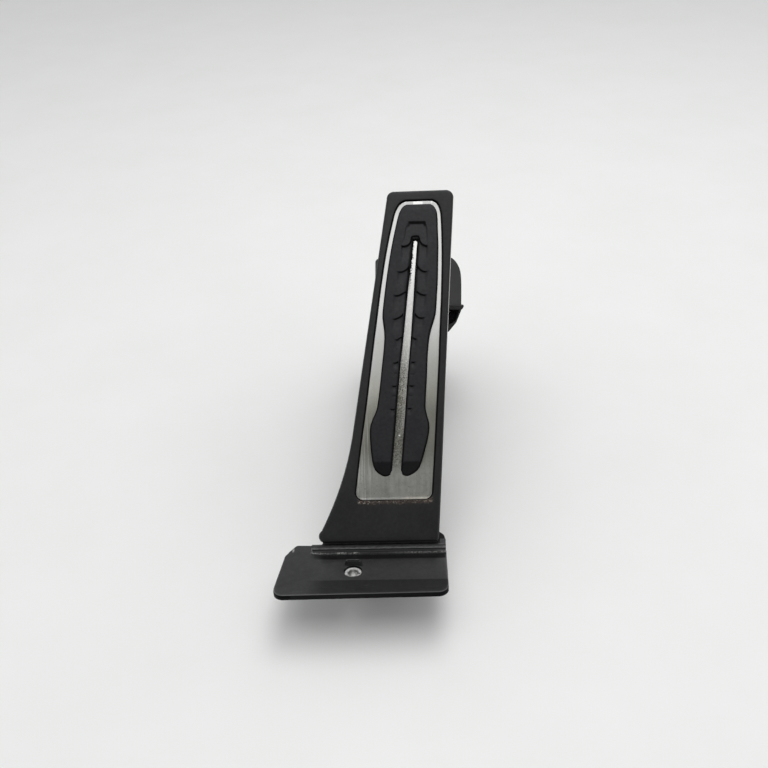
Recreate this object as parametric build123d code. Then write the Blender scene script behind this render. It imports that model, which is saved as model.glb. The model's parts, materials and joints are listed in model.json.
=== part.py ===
from build123d import *
import math
import os

os.makedirs("parts", exist_ok=True)

# ---------------------------------------------------------------- dimensions
# Millimetres and degrees. Working frame while modelling: +X right, +Y away from
# the driver, +Z up from the flat mounting face; Y = 0 and Z = HINGE_Z on the
# line where the top of the foot plate meets the front of the pad.
PAD_ANGLE = 40.0        # pad above the mounting plane, released
TRAVEL = 16.0           # pad travel, released to full throttle
ROOF_ANGLE = PAD_ANGLE - TRAVEL
FOOT_ANGLE = 13.0       # the foot plate climbs towards its front edge
HINGE_Z = 27.0
HINGE_HALF = 43.5       # half the length of the film hinge
FILM_DEPTH = 1.4        # middle of the hinge film below the top surfaces
FILM_THICK = 0.8
FILM_GAP = 1.4          # half the groove between foot plate and carrier

BEAD_R, BEAD_IN = 0.55, 1.95  # bead on the foot plate, beside the groove
ROLL_R, ROLL_IN, ROLL_W = 1.25, 3.35, -0.45   # wider roll on the carrier, above the groove

FOOT_THICK = 3.4
BOLT_X, BOLT_U = -15.56, -20.77   # foot bolt on the foot plate
SLEEVE_R, SLEEVE_BORE_R = 5.25, 3.45
RIM_R = 5.83

FRAME_TOP = 6.0         # pad frame stands this far in front of the carrier
INLAY_FLOOR = 4.4
INLAY_THICK = 0.8
TREAD_TOP = 8.6
AXIS_X0, AXIS_SLOPE = 7.58, 0.0981   # lengthwise axis of inlay and tread

CARRIER_PLATE = 3.0
CARRIER_DEPTH = 12.0

ROOF_Q = -19.0          # housing roof below the pressed pad's plane
WALL = 2.5
HOUSE_X0, HOUSE_X1 = -4.0, 41.5
COVER_X1 = 44.0
LEVER_Y, LEVER_Z = 116.0, 44.0        # lever pivot
LEVER_R = 103.65                      # pivot to nose
LEVER_PHI = 69.501                    # lever above horizontal, released
LEVER_X0, LEVER_X1 = 8.0, 33.0
HUB_R = 9.3
PIN_R = 4.0
BUSH_CLEAR = 0.04
NOSE_R = 4.0
NOSE_W = -10.5
SPRING_X, SPRING_Y = 18.0, 152.0
SPRING_Z0, SPRING_Z1 = 5.0, 48.0
LUG_X, LUG_Y, LUG_R, LUG_T = 18.75, 250.0, 12.0, 7.0
SHIFT = (-18.75, -166.0, 0.0)         # to the middle of the mounting face


# ------------------------------------------------------------------- helpers
def tilt(angle):
    a = math.radians(angle)
    return Plane(origin=(0, 0, HINGE_Z), x_dir=(1, 0, 0), z_dir=(0, -math.sin(a), math.cos(a)))


PAD, FOOT, ROOF = tilt(PAD_ANGLE), tilt(-FOOT_ANGLE), tilt(ROOF_ANGLE)


def roof_yz(p, q):
    a = math.radians(ROOF_ANGLE)
    return p * math.cos(a) - q * math.sin(a), HINGE_Z + p * math.sin(a) + q * math.cos(a)


def slab(face, w0, w1):
    return Pos(0, 0, w0) * extrude(face, amount=w1 - w0, dir=(0, 0, 1))


def outline(pts):
    return make_face(Polyline(*pts, close=True))


def prism(pts, x0, x1):
    """Outline in Y, Z carried along X."""
    return extrude(make_face(Polyline(*[(x0, y, z) for y, z in pts], close=True)), amount=x1 - x0, dir=(1, 0, 0))


def prism_roof(pts, x0, x1):
    """Outline in P, Q (along and above the roof) carried along X."""
    return prism([roof_yz(p, q) for p, q in pts], x0, x1)


def rod_x(r, x0, x1, y, z):
    return Pos(x0, y, z) * (Rot(0, 90, 0) * Cylinder(r, x1 - x0, align=(Align.CENTER, Align.CENTER, Align.MIN)))


def rod_z(r, z0, z1, x, y):
    return Pos(x, y, z0) * Cylinder(r, z1 - z0, align=(Align.CENTER, Align.CENTER, Align.MIN))


def block(x0, x1, y0, y1, z0, z1):
    return Pos((x0 + x1) / 2, (y0 + y1) / 2, (z0 + z1) / 2) * Box(x1 - x0, y1 - y0, z1 - z0)


def soften(part, edges, radius):
    """Round the edges, with a smaller radius where the full one can't close."""
    for k in (1.0, 0.8, 0.6, 0.4):
        try:
            done = fillet(edges, radius * k)
            if done.is_valid and done.volume > 0.5 * part.volume:
                return done
        except Exception:
            continue
    print("edges left sharp", len(edges), radius)
    return part


def axis_x(v):
    return AXIS_X0 + AXIS_SLOPE * v


def sides(table):
    """Rows of V, left and right half-width about the pad's axis, as right and left points."""
    return [(axis_x(v) + r, v) for v, l, r in table], [(axis_x(v) - l, v) for v, l, r in table]


def place(part, plane):
    return plane.location * part


def save(part, name):
    part = Pos(*SHIFT) * part
    solids = part.solids()
    print(f"{name:22s} solids {len(solids)} volume {sum(s.volume for s in solids):10.1f}")
    whole = Compound(children=[Solid(s.wrapped) for s in solids]) if len(solids) > 1 else solids[0]
    export_step(whole, f"parts/{name}.step")


# -------------------------------------------------------- hinge axis (Y, Z)
half = math.radians((PAD_ANGLE + FOOT_ANGLE) / 2)
lean = math.radians((PAD_ANGLE - FOOT_ANGLE) / 2)
reach = FILM_DEPTH / math.cos(half)
HINGE_Y, HINGE_ZC = reach * math.sin(lean), HINGE_Z - reach * math.cos(lean)
print("hinge axis", HINGE_Y + SHIFT[1], HINGE_ZC)


def pad_yz(v, w):
    a = math.radians(PAD_ANGLE)
    return v * math.cos(a) - w * math.sin(a), HINGE_Z + v * math.sin(a) + w * math.cos(a)


def foot_yz(u, n):
    a = math.radians(-FOOT_ANGLE)
    return u * math.cos(a) - n * math.sin(a), HINGE_Z + u * math.sin(a) + n * math.cos(a)


# ---------------------------------------------------------------- foot plate
# A moulded plate, wider to the left, with a wing that runs back past the hinge.
foot_face = outline([(-44.2, -FILM_GAP), (-44.2, 6.8), (-60.25, 6.8), (-63.6, -36.0), (-63.0, -44.1), (43.7, -42.4), (43.7, -FILM_GAP)])
foot_plate = slab(foot_face, -FOOT_THICK, 0)
front = [e for e in foot_plate.edges().filter_by(Axis.Z) if e.center().Y < -40]
foot_plate = soften(foot_plate, front, 6.5)
wing = [e for e in foot_plate.edges().filter_by(Axis.Z) if e.center().X < -58 and e.center().Y > 0]
foot_plate = soften(foot_plate, wing, 9.5)
foot_plate += rod_z(8.5, -9.4, -FOOT_THICK, BOLT_X, BOLT_U)
for x in (-22.0, 20.0):
    foot_plate += rod_z(3.6, -9.4, -FOOT_THICK, x, -6.5)
    foot_plate -= rod_z(1.5, -9.5, -1.2, x, -6.5)
foot_plate -= rod_z(SLEEVE_R, -12, 2, BOLT_X, BOLT_U)
foot_plate -= Pos(BOLT_X, BOLT_U, -1.1) * Cone(SLEEVE_R, RIM_R, 1.1, align=(Align.CENTER, Align.CENTER, Align.MIN))
rim = foot_plate.faces().filter_by(Axis.Z).sort_by(Axis.Z)[-1].outer_wire().edges()
keep = [e for e in rim if abs(e.center().Y + FILM_GAP) > 0.2]
foot_plate = soften(foot_plate, keep, 0.9)
# a low bead along the hinge groove
foot_plate += rod_x(BEAD_R, -HINGE_HALF, 43.7, -BEAD_IN, 0.0) & block(-80, 80, -10, 0, -1.0, 5)
save(place(foot_plate, FOOT), "foot_plate")

sleeve = rod_z(SLEEVE_R, -9.6, -1.2, BOLT_X, BOLT_U) - rod_z(SLEEVE_BORE_R, -11, 2, BOLT_X, BOLT_U)
save(place(sleeve, FOOT), "foot_sleeve")

# screws that hold the foot plate on the tongue, driven from below
screws = Part()
for x in (-22.0, 20.0):
    screws += rod_z(1.5, -10.4, -1.6, x, -6.5) + rod_z(3.4, -12.4, -10.4, x, -6.5)
save(place(screws, FOOT), "foot_screws")


# ---------------------------------------------------------------- hinge film
def bend(depth):
    r = depth / math.cos(half)
    return r * math.sin(lean), HINGE_Z - r * math.cos(lean)


t0, t1 = FILM_DEPTH - FILM_THICK / 2, FILM_DEPTH + FILM_THICK / 2
film = prism([foot_yz(-FILM_GAP, -t0), bend(t0), pad_yz(FILM_GAP, -t0), pad_yz(FILM_GAP, -t1), bend(t1), foot_yz(-FILM_GAP, -t1)],
             -HINGE_HALF, HINGE_HALF)
save(film, "hinge_film")

# ----------------------------------------------------------------- pad frame
# Straight sides that lean right, flared at the lower left, square lower edge.
LEFT = [(-14.75, 85.4), (-16.85, 72.0), (-19.6, 58.8), (-23.3, 45.8), (-27.9, 32.8), (-33.4, 20.0), (-36.7, 13.2)]
frame_edges = [
    Line((-34.6, 5.5), (37.3, 5.5)),
    ThreePointArc((37.3, 5.5), (38.7, 6.3), (39.25, 8.0)),
    Line((39.25, 8.0), (56.02, 242.2)),
    ThreePointArc((56.02, 242.2), (54.8, 246.6), (50.9, 248.5)),
    Line((50.9, 248.5), (14.4, 248.4)),
    ThreePointArc((14.4, 248.4), (10.6, 246.9), (9.1, 243.0)),
    Line((9.1, 243.0), LEFT[0]),
    Spline(*LEFT, tangents=[(-0.152, -1.0), (-0.45, -1.0)]),
    ThreePointArc(LEFT[-1], (-38.3, 8.3), (-34.6, 5.5)),
]
frame_face = make_face(frame_edges)

WINDOW = [(37.6, 25.55, 24.4), (64.0, 24.95, 24.0), (97.0, 23.6, 23.3), (122.0, 22.9, 22.75), (140.0, 22.35, 22.1), (154.0, 21.8, 21.65),
          (168.0, 21.3, 21.3), (182.0, 20.65, 20.65), (197.0, 19.75, 19.85), (211.0, 18.5, 18.75), (219.5, 17.5, 17.95), (226.5, 16.55, 17.15),
          (231.0, 15.85, 16.5), (234.8, 14.7, 15.35), (238.5, 12.6, 13.2), (240.7, 9.2, 9.8)]


def window(d):
    """Outline of the inlay's seat, drawn in by d all round."""
    right, left = sides([(v + (d if v < 60 else 0) - (d if v > 236 else 0), l - d, r - d) for v, l, r in WINDOW])
    low = 32.3 + d
    a, b = right[0], left[0]
    return make_face([
        Spline(*right), Line(right[-1], left[-1]), Spline(*left),
        ThreePointArc(b, (b[0] + 1.5, low + 1.5), (b[0] + 5.0, low)),
        Line((b[0] + 5.0, low), (a[0] - 5.0, low)),
        ThreePointArc((a[0] - 5.0, low), (a[0] - 1.5, low + 1.5), a),
    ])


PEGS = [(v, s) for v in (222.0, 176.0, 128.0, 78.0) for s in (-1, 1)]


def pegs(r, w0, w1):
    done = Part()
    for v, s in PEGS:
        done += rod_z(r, w0, w1, axis_x(v) + s * 10.2, v)
    return done


PAD_SCREWS = [(-8.0, 46.0), (30.0, 30.0), (46.5, 236.0), (20.0, 240.0), (-5.0, 120.0), (39.0, 120.0)]
pad_frame = slab(frame_face, 0, FRAME_TOP) - slab(window(0.0), INLAY_FLOOR, FRAME_TOP + 2)
pad_frame = soften(pad_frame, pad_frame.faces().filter_by(Axis.Z).sort_by(Axis.Z)[-1].outer_wire().edges(), 1.8)
pad_frame -= pegs(2.1, -1, FRAME_TOP + 3)
for x, v in PAD_SCREWS:
    pad_frame -= rod_z(1.5, -1, 3.4, x, v)
save(place(pad_frame, PAD), "pad_frame")

inlay = slab(window(0.12), INLAY_FLOOR, INLAY_FLOOR + INLAY_THICK) - pegs(2.1, 0, 9)
save(place(inlay, PAD), "steel_inlay")

# -------------------------------------------------------------- rubber tread
# Two legs either side of a slit, waisted below the middle, with stepped scales.
OUTER = [(237.6, 8.2, 9.2), (236.3, 10.4, 11.5), (233.2, 12.1, 13.4), (228.5, 13.15, 14.4), (218.0, 14.6, 15.5), (207.0, 15.8, 16.6),
         (196.0, 16.7, 17.2), (182.0, 17.5, 17.95), (167.5, 18.0, 18.2), (160.0, 18.1, 18.3), (156.3, 17.9, 18.0), (153.2, 17.4, 17.4),
         (150.0, 16.7, 16.65), (146.5, 16.0, 15.9), (142.5, 15.45, 15.3), (137.5, 15.2, 14.95), (131.0, 15.2, 14.85), (124.0, 15.35, 15.0),
         (112.0, 15.55, 15.45), (98.0, 15.95, 15.7), (92.0, 16.5, 16.1), (88.3, 17.6, 17.1), (85.0, 18.8, 18.3), (81.5, 19.6, 19.3),
         (77.5, 19.7, 19.6), (72.5, 19.1, 19.15), (64.0, 17.7, 17.6), (56.5, 16.0, 16.0), (52.2, 14.1, 14.3), (49.4, 11.0, 11.1),
         (48.0, 7.4, 7.4), (48.9, 4.4, 4.4), (51.5, 2.95, 2.85)]
SLIT = [(51.5, 2.95, 2.85), (64.0, 3.0, 2.8), (76.0, 3.0, 2.75), (87.0, 3.0, 2.75), (97.0, 3.1, 2.55), (112.0, 3.05, 2.45), (125.5, 2.9, 2.45),
        (139.5, 2.5, 2.5), (153.5, 2.25, 2.35), (167.7, 2.05, 2.2), (182.0, 1.75, 2.1), (196.5, 1.45, 2.0), (204.0, 1.4, 1.9), (209.5, 1.35, 1.85)]
outer_r, outer_l = sides(OUTER)
slit_r, slit_l = sides(SLIT)
tread_face = make_face([
    Line(outer_l[0], outer_r[0]), Spline(*outer_r), Spline(*slit_r),
    ThreePointArc(slit_r[-1], (axis_x(210.9) + 0.25, 210.9), slit_l[-1]), Spline(*slit_l), Spline(*outer_l),
])
LOW = INLAY_FLOOR + INLAY_THICK
tread = slab(tread_face, LOW, TREAD_TOP)
tread = soften(tread, tread.faces().filter_by(Axis.Z).sort_by(Axis.Z)[-1].outer_wire().edges(), 0.7)
# each scale is a shallow ramp that starts low and ends flush at a crescent step
SCALES = [(224.0, 207.5, 8.5, 9.4), (207.5, 189.6, 9.4, 10.2), (189.6, 172.3, 10.2, 10.8), (172.3, 156.0, 10.8, 8.4), (156.0, 140.4, 8.4, 4.6)]
for top, low, h0, h1 in SCALES:
    right, left = sides([(top, h0, h0), (low, h1, h1)])
    region = slab(outline([left[0], right[0], (right[1][0], low - 1.6), (axis_x(low), low + 1.8), (left[1][0], low - 1.6)]), LOW, TREAD_TOP + 2)
    wedge = prism([(low - 3.0, TREAD_TOP + 0.12), (top, TREAD_TOP - 0.9), (top, TREAD_TOP + 2), (low - 3.0, TREAD_TOP + 2)], -20, 70)
    tread -= region & wedge
tread += pegs(2.0, 0.4, LOW)
save(place(tread, PAD), "rubber_tread")

# ------------------------------------------------------------- pedal carrier
# Back of the pad: a ribbed plate, hinged at its lower edge, with a guide for the lever's nose.
carrier_face = outline([
    (-HINGE_HALF, FILM_GAP), (HINGE_HALF, FILM_GAP), (HINGE_HALF, 6.5), (42.4, 9.6), (39.4, 11.8), (38.2, 13.0),
    (54.46, 240.8), (52.65, 245.4), (49.0, 247.3), (15.6, 247.3), (11.8, 245.6), (10.0, 241.8),
    (-13.8, 85.4), (-15.9, 72.0), (-18.6, 58.8), (-22.2, 45.8), (-26.8, 32.8), (-32.3, 20.0), (-36.0, 11.6), (-37.0, 8.6), (-36.6, 5.4), (-37.8, 3.8), (-HINGE_HALF, 3.5)])
carrier = slab(carrier_face, -CARRIER_PLATE, 0)


def edge_left(v):
    pts = [(11.0, -36.4), (20.0, -32.3), (32.8, -26.8), (45.8, -22.2), (58.8, -18.6), (72.0, -15.9), (85.4, -13.8), (241.0, 9.9)]
    for (v0, x0), (v1, x1) in zip(pts, pts[1:]):
        if v0 <= v <= v1:
            return x0 + (x1 - x0) * (v - v0) / (v1 - v0)
    return pts[-1][1]


def edge_right(v):
    return 38.2 + (54.4 - 38.2) * (v - 13.0) / 227.0


RIB = 2.2
NODES_V = [20.0, 45.8, 72.0, 98.0, 124.0, 150.0, 176.0, 230.0, 241.0]
ribs = Part()
for side in ("left", "right"):
    for v0, v1 in zip(NODES_V, NODES_V[1:]):
        x0, x1 = (edge_left(v0) + 2.5, edge_left(v1) + 2.5) if side == "left" else (edge_right(v0) - 2.5 - RIB, edge_right(v1) - 2.5 - RIB)
        ribs += slab(outline([(x0, v0), (x0 + RIB, v0), (x1 + RIB, v1), (x1, v1)]), -CARRIER_DEPTH, -CARRIER_PLATE)
for v in (45.8, 72.0, 98.0, 124.0, 150.0, 176.0, 241.0):
    ribs += slab(outline([(edge_left(v) + 2.6, v - RIB / 2), (edge_right(v) - 2.6, v - RIB / 2),
                          (edge_right(v) - 2.6, v + RIB / 2), (edge_left(v) + 2.6, v + RIB / 2)]), -CARRIER_DEPTH, -CARRIER_PLATE)
x0, x1 = axis_x(20.0) - RIB / 2, axis_x(176.0) - RIB / 2
ribs += slab(outline([(x0, 20.0), (x0 + RIB, 20.0), (x1 + RIB, 176.0), (x1, 176.0)]), -CARRIER_DEPTH, -CARRIER_PLATE)
# the ribs run out towards the hinge
ribs -= prism([(0.0, -20.0), (0.0, -CARRIER_PLATE - 0.3), (22.0, -CARRIER_PLATE - 0.3), (72.0, -CARRIER_DEPTH), (72.0, -20.0)], -80, 80)
carrier += ribs
# the guide's studs sit in blind holes in the plate
GUIDE_STUDS = [(17.6, 182.0), (35.4, 182.0), (17.6, 228.4), (35.4, 228.4)]
for x, v in GUIDE_STUDS:
    carrier -= rod_z(1.75, -4.0, -0.8, x, v)
for x, v in PAD_SCREWS:
    carrier += rod_z(4.2, -5.0, -CARRIER_PLATE, x, v)
    carrier -= rod_z(1.65, -20, 1, x, v)
    carrier -= rod_z(3.6, -20, -5.0, x, v)
carrier -= pegs(2.3, -CARRIER_PLATE - 0.5, 1)
# roll above the hinge groove, with a gutter between it and the frame
carrier -= block(-37.6, 39.6, 4.55, 7.2, -1.5, 1.0)
carrier += rod_x(ROLL_R, -HINGE_HALF, HINGE_HALF, ROLL_IN, ROLL_W) & block(-80, 80, 0, 10, -1.0, 5)
save(place(carrier, PAD), "pedal_carrier")

# guide for the lever's nose: a channel with inturned lips, staked to the back of the plate
GUIDE_X0, GUIDE_X1 = 14.0, 39.0
GUIDE_V0, GUIDE_V1 = 177.25, 231.0
guide = block(GUIDE_X0, GUIDE_X1, GUIDE_V0, GUIDE_V1, -17.2, -CARRIER_PLATE)
guide -= block(GUIDE_X0 + 2.4, GUIDE_X1 - 2.4, 170.0, 226.0, NOSE_W - NOSE_R - 0.2, NOSE_W + NOSE_R + 0.2)
guide -= block(20.5, 32.5, 170.0, 226.0, -18.0, NOSE_W)
for x, v in GUIDE_STUDS:
    guide += rod_z(1.7, -CARRIER_PLATE - 0.3, -0.9, x, v)
save(place(guide, PAD), "lever_guide")

screws = Part()
for x, v in PAD_SCREWS:
    screws += rod_z(1.45, -5.0, 3.2, x, v) + rod_z(3.3, -7.0, -5.0, x, v)
save(place(screws, PAD), "pad_screws")

# ------------------------------------------------------------- base housing
# One moulding: lever chamber open to the right, ribbed spine, tongue and rear lug.
r0, r1 = roof_yz(100.3, ROOF_Q), roof_yz(250.0, ROOF_Q)
OUTSIDE = [(96.0, 0.0), (236.0, 0.0), (236.0, 30.0), (244.0, 92.0), r1, r0, (96.0, 46.0)]


def inset(pts, d):
    """The outline, counter-clockwise, with every side moved inwards by d."""
    lines = []
    for (y0, z0), (y1, z1) in zip(pts, pts[1:] + pts[:1]):
        n = math.hypot(y1 - y0, z1 - z0)
        ey, ez = (y1 - y0) / n, (z1 - z0) / n
        lines.append((y0 - ez * d, z0 + ey * d, ey, ez))
    ring = []
    for (ay, az, ey, ez), (by, bz, fy, fz) in zip(lines[-1:] + lines[:-1], lines):
        k = ((by - ay) * fz - (bz - az) * fy) / (ey * fz - ez * fy)
        ring.append((ay + k * ey, az + k * ez))
    return ring


def drawn_in(d, x0, x1):
    """The housing's side outline drawn in by d, carried from x0 to x1."""
    return prism(inset(OUTSIDE, d), x0, x1)


base = drawn_in(0.0, HOUSE_X0, HOUSE_X1)
corner = [e for e in base.edges() if abs(e.center().X - (HOUSE_X0 + HOUSE_X1) / 2) < 1 and e.center().Z > 80]
base = soften(base, corner, 3.0)
base = soften(base, base.faces().sort_by(Axis.X)[0].edges().filter_by(lambda e: e.center().Z > 1), 3.0)
base -= drawn_in(WALL, HOUSE_X0 + WALL, HOUSE_X1 + 1)
seal = drawn_in(0.7, HOUSE_X1 - 1.2, HOUSE_X1) - drawn_in(1.8, HOUSE_X1 - 2, HOUSE_X1 + 1)

SCREWS = [(101.7, 5.7), (230.3, 5.7), (235.4, 98.6), (101.7, 36.0), (172.0, 77.2), (166.0, 5.7)]
for y, z in SCREWS:
    base += rod_x(3.5, 33.0, HOUSE_X1 - 0.4, y, z) & drawn_in(1.0, 0, 60)
base += rod_x(8.6, HOUSE_X0 + 1.0, LEVER_X0 - 0.4, LEVER_Y, LEVER_Z)

# spine: a skewed, ribbed channel from the chamber forward to the tongue
LF, RF, LR, RR = -26.0, 26.0, HOUSE_X0, HOUSE_X1


def spine_x(y, s):
    k = (y + 3.0) / 101.0
    return (LF + (LR - LF) * k) * (1 - s) + (RF + (RR - RF) * k) * s


plan = extrude(outline([(spine_x(-3, 0), -3), (spine_x(-3, 1), -3), (spine_x(98, 1), 98), (spine_x(98, 0), 98)]), amount=80, dir=(0, 0, 1))
spine = prism([(-3.0, 13.0), (-1.5, 22.0), (98.0, 46.0), (98.0, 0.0), (38.0, 0.0)], -80, 80) & plan
under = prism([(0.5, 9.0), (1.0, 19.2), (95.0, 42.0), (95.0, -2.0), (20.0, -2.0)], -80, 80)
cells = Part()
for i in range(3):
    for y0, y1 in ((1.0, 22.0), (25.0, 46.0), (49.0, 70.0), (73.0, 93.5)):
        s0, s1 = 0.055 + i * 0.315, 0.055 + i * 0.315 + 0.26
        cells += extrude(outline([(spine_x(y0, s0), y0), (spine_x(y0, s1), y0), (spine_x(y1, s1), y1), (spine_x(y1, s0), y1)]), amount=60, dir=(0, 0, 1))
spine = soften(spine, [e for e in spine.edges() if e.length > 60 and e.center().Z > 20 and abs(e.center().X - 10) > 15], 2.5)
spine -= cells & under
base += spine
# tongue under the foot plate
tongue = slab(outline([(-30.0, -36.0), (26.0, -36.0), (26.0, 2.0), (-26.0, 2.0), (-30.0, -4.0)]), -9.4, -FOOT_THICK)
tongue = soften(tongue, tongue.edges().filter_by(Axis.Z).group_by(Axis.Y)[0], 6.0)
tongue = soften(tongue, tongue.faces().sort_by(Axis.Z)[0].edges(), 1.2)
base += place(tongue, FOOT)
cut = rod_z(8.5, -20, 5, BOLT_X, BOLT_U)
for x in (-22.0, 20.0):
    cut += rod_z(3.6, -9.4, 0, x, -6.5) + rod_z(1.6, -20, 0, x, -6.5) + rod_z(3.9, -30, -9.4, x, -6.5)
base -= place(cut, FOOT)
# the front wall of the chamber is restored where the spine meets it
base -= drawn_in(WALL, HOUSE_X0 + WALL, HOUSE_X1 + 1) & block(-60, 60, 98.5, 110, -5, 60) - rod_x(8.7, HOUSE_X0, LEVER_X0 - 0.4, LEVER_Y, LEVER_Z) \
    - sum((rod_x(3.5, 33.0, HOUSE_X1 - 0.4, y, z) for y, z in SCREWS), Part())
# rear lug with gussets
lug = rod_z(LUG_R, 0, LUG_T, LUG_X, LUG_Y) + block(LUG_X - LUG_R, LUG_X + LUG_R, 234.5, LUG_Y, 0, LUG_T)
lug = soften(lug, lug.faces().sort_by(Axis.Z)[-1].edges().filter_by(lambda e: e.center().Y > 238), 1.2)
for x in (LUG_X - LUG_R, LUG_X + LUG_R - 3.0):
    lug += prism([(235.0, LUG_T - 1), (235.0, 24.0), (247.0, LUG_T - 1)], x, x + 3.0)
base += lug
base -= rod_z(SLEEVE_R, -1, 20, LUG_X, LUG_Y)
# slot in the roof for the lever's arm
base -= prism_roof([(113.8, -26.0), (113.8, -15.0), (222.0, -15.0), (222.0, -26.0)], 20.5, 32.5)
# outside ribs on the left wall
for y in (120.0, 148.0, 176.0, 204.0):
    top = roof_yz(0, 0)[1] + 0.4452 * (y - 7.73) - 24.5
    base += prism([(y, 0.0), (y + 2.2, 0.0), (y + 2.2, top), (y, top)], HOUSE_X0 - 1.6, HOUSE_X0 + 0.5)
for x in (2.0, 17.65, 33.3):
    base += prism([(234.5, 12.0), (238.2, 12.0), (245.2, 88.0), (241.5, 90.0)], x, x + 2.2)
base -= seal
for y, z in SCREWS:
    base -= rod_x(1.5, 33.5, 60, y, z)
base -= rod_x(PIN_R, HOUSE_X0 + 1.8, 60, LEVER_Y, LEVER_Z)
save(base, "base_housing")
save(seal, "cover_seal")

lug_sleeve = rod_z(SLEEVE_R, 0.0, LUG_T + 0.2, LUG_X, LUG_Y) - rod_z(SLEEVE_BORE_R, -1, 20, LUG_X, LUG_Y)
save(lug_sleeve, "lug_sleeve")

# ------------------------------------------------------------- sensor cover
# Right-hand side wall with the plug socket, whose mouth faces the driver.
cover = drawn_in(0.0, HOUSE_X1, COVER_X1)
cover = soften(cover, cover.faces().sort_by(Axis.X)[-1].edges().filter_by(lambda e: e.center().Z > 1), 1.0)
BODY = [(HOUSE_X1 + 1.0, -19.3), (64.4, -19.3), (63.4, -21.5), (61.8, -29.8), (59.9, -39.9), (54.2, -53.4), (51.0, -54.6), (HOUSE_X1 + 1.0, -54.6)]
LIP = [(HOUSE_X1 + 1.0, -16.0), (50.0, -15.4), (55.0, -15.4), (64.2, -17.1), (65.0, -17.9), (64.4, -19.8), (63.2, -22.0), (HOUSE_X1 + 1.0, -22.0)]
WELL = [(46.3, -20.9), (61.9, -20.9), (60.7, -29.8), (59.1, -36.9), (56.9, -39.8), (54.8, -41.9), (53.2, -43.6), (46.3, -43.6)]
PLAN = [(63.15, 198.9), (63.75, 211.0), (64.2, 221.0), (64.25, 230.6), (63.6, 236.3), (62.0, 241.1), (59.8, 245.1), (56.9, 247.9), (53.0, 249.5)]


def along(pts, p0, p1):
    """Outline in X, Q carried along P, the way the plug goes in."""
    a = math.radians(ROOF_ANGLE)
    ring = [(x, *roof_yz(p0, q)) for x, q in pts]
    return extrude(make_face(Polyline(*ring, close=True)), amount=p1 - p0, dir=(0, math.cos(a), math.sin(a)))


shape = make_face([Spline(*PLAN), Line(PLAN[-1], (HOUSE_X1, 249.5)), Line((HOUSE_X1, 249.5), (HOUSE_X1, 198.9)), Line((HOUSE_X1, 198.9), PLAN[0])])
body = along(BODY, 198.9, 249.5) & place(slab(shape, -60.0, -10.0), ROOF) & drawn_in(0.0, HOUSE_X1, 70.0)
roof_up = Vector(0, -math.sin(math.radians(ROOF_ANGLE)), math.cos(math.radians(ROOF_ANGLE)))
upper = max((f for f in body.faces() if f.normal_at().dot(roof_up) > 0.99), key=lambda f: f.area)
body = soften(body, [e for e in upper.edges() if e.center().X > 55 and e.length > 30], 1.6)
lip = along(LIP, 198.9, 200.7)
cover += body + lip
cover -= along(WELL, 190.0, 214.0)
cover -= along([(HOUSE_X1 - 1, -23.0), (60.0, -23.0), (60.0, -26.0), (53.0, -42.0), (HOUSE_X1 - 1, -42.0)], 231.0, 240.5)
cover += rod_x(7.0, 33.6, HOUSE_X1 + 0.5, LEVER_Y, LEVER_Z)
cover += rod_x(10.5, HOUSE_X1 + 1.0, COVER_X1 + 1.2, LEVER_Y, LEVER_Z) - rod_x(8.0, COVER_X1 + 0.4, 60, LEVER_Y, LEVER_Z)
for q in (-42.0, -56.0, -70.0):
    cover += prism_roof([(128.0, q), (190.0 + (q + 42.0) * 0.2, q), (190.0 + (q + 42.0) * 0.2, q + 2.0), (128.0, q + 2.0)], HOUSE_X1 + 1.0, COVER_X1 + 1.2)
cover -= rod_x(PIN_R, 30.0, 42.2, LEVER_Y, LEVER_Z)
for y, z in SCREWS:
    cover -= rod_x(1.7, 40, 50, y, z) + rod_x(3.1, COVER_X1 - 1.4, 50, y, z)
for p, q in ((132.0, -32.0), (132.0, -47.0), (206.0, -32.0), (206.0, -47.0)):
    y, z = roof_yz(p, q)
    cover += rod_x(1.8, 40.1, HOUSE_X1 + 0.5, y, z)
PINS = [(x, q, b) for q in (-31.5, -36.5) for x, b in ((49.0, 221.0), (52.0, 224.0), (55.0, 227.0))]
pins = Part()
for x, q, b in PINS:
    a = 0.4
    pins += along([(x - a, q - a), (x + a, q - a), (x + a, q + a), (x - a, q + a)], 207.0, b + a)
    pins += along([(37.6, q - a), (x + a, q - a), (x + a, q + a), (37.6, q + a)], b - a, b + a)
cover -= pins
save(cover, "sensor_cover")
save(pins, "connector_pins")

screws = Part()
for y, z in SCREWS:
    screws += rod_x(1.45, 34.5, COVER_X1 - 1.4, y, z) + rod_x(2.9, COVER_X1 - 1.4, COVER_X1 - 0.1, y, z)
save(screws, "cover_screws")

board = prism_roof([(126.0, -29.0), (231.0, -29.0), (231.0, -50.0), (126.0, -50.0)], 38.5, 40.1) - pins
save(board, "circuit_board")
chips = prism_roof([(131.0, -33.5), (137.0, -33.5), (137.0, -38.5), (131.0, -38.5)], 37.1, 38.5) \
    + prism_roof([(131.0, -40.5), (137.0, -40.5), (137.0, -45.5), (131.0, -45.5)], 37.1, 38.5)
save(chips, "sensor_chips")

# ------------------------------------------------------------ lever and pin
pin = rod_x(PIN_R, HOUSE_X0 + 1.8, 42.0, LEVER_Y, LEVER_Z)
save(pin, "lever_pin")

phi = math.radians(LEVER_PHI)
along_l, across_l = (math.cos(phi), math.sin(phi)), (-math.sin(phi), math.cos(phi))


def lever_yz(t, s):
    return LEVER_Y + t * along_l[0] + s * across_l[0], LEVER_Z + t * along_l[1] + s * across_l[1]


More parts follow.
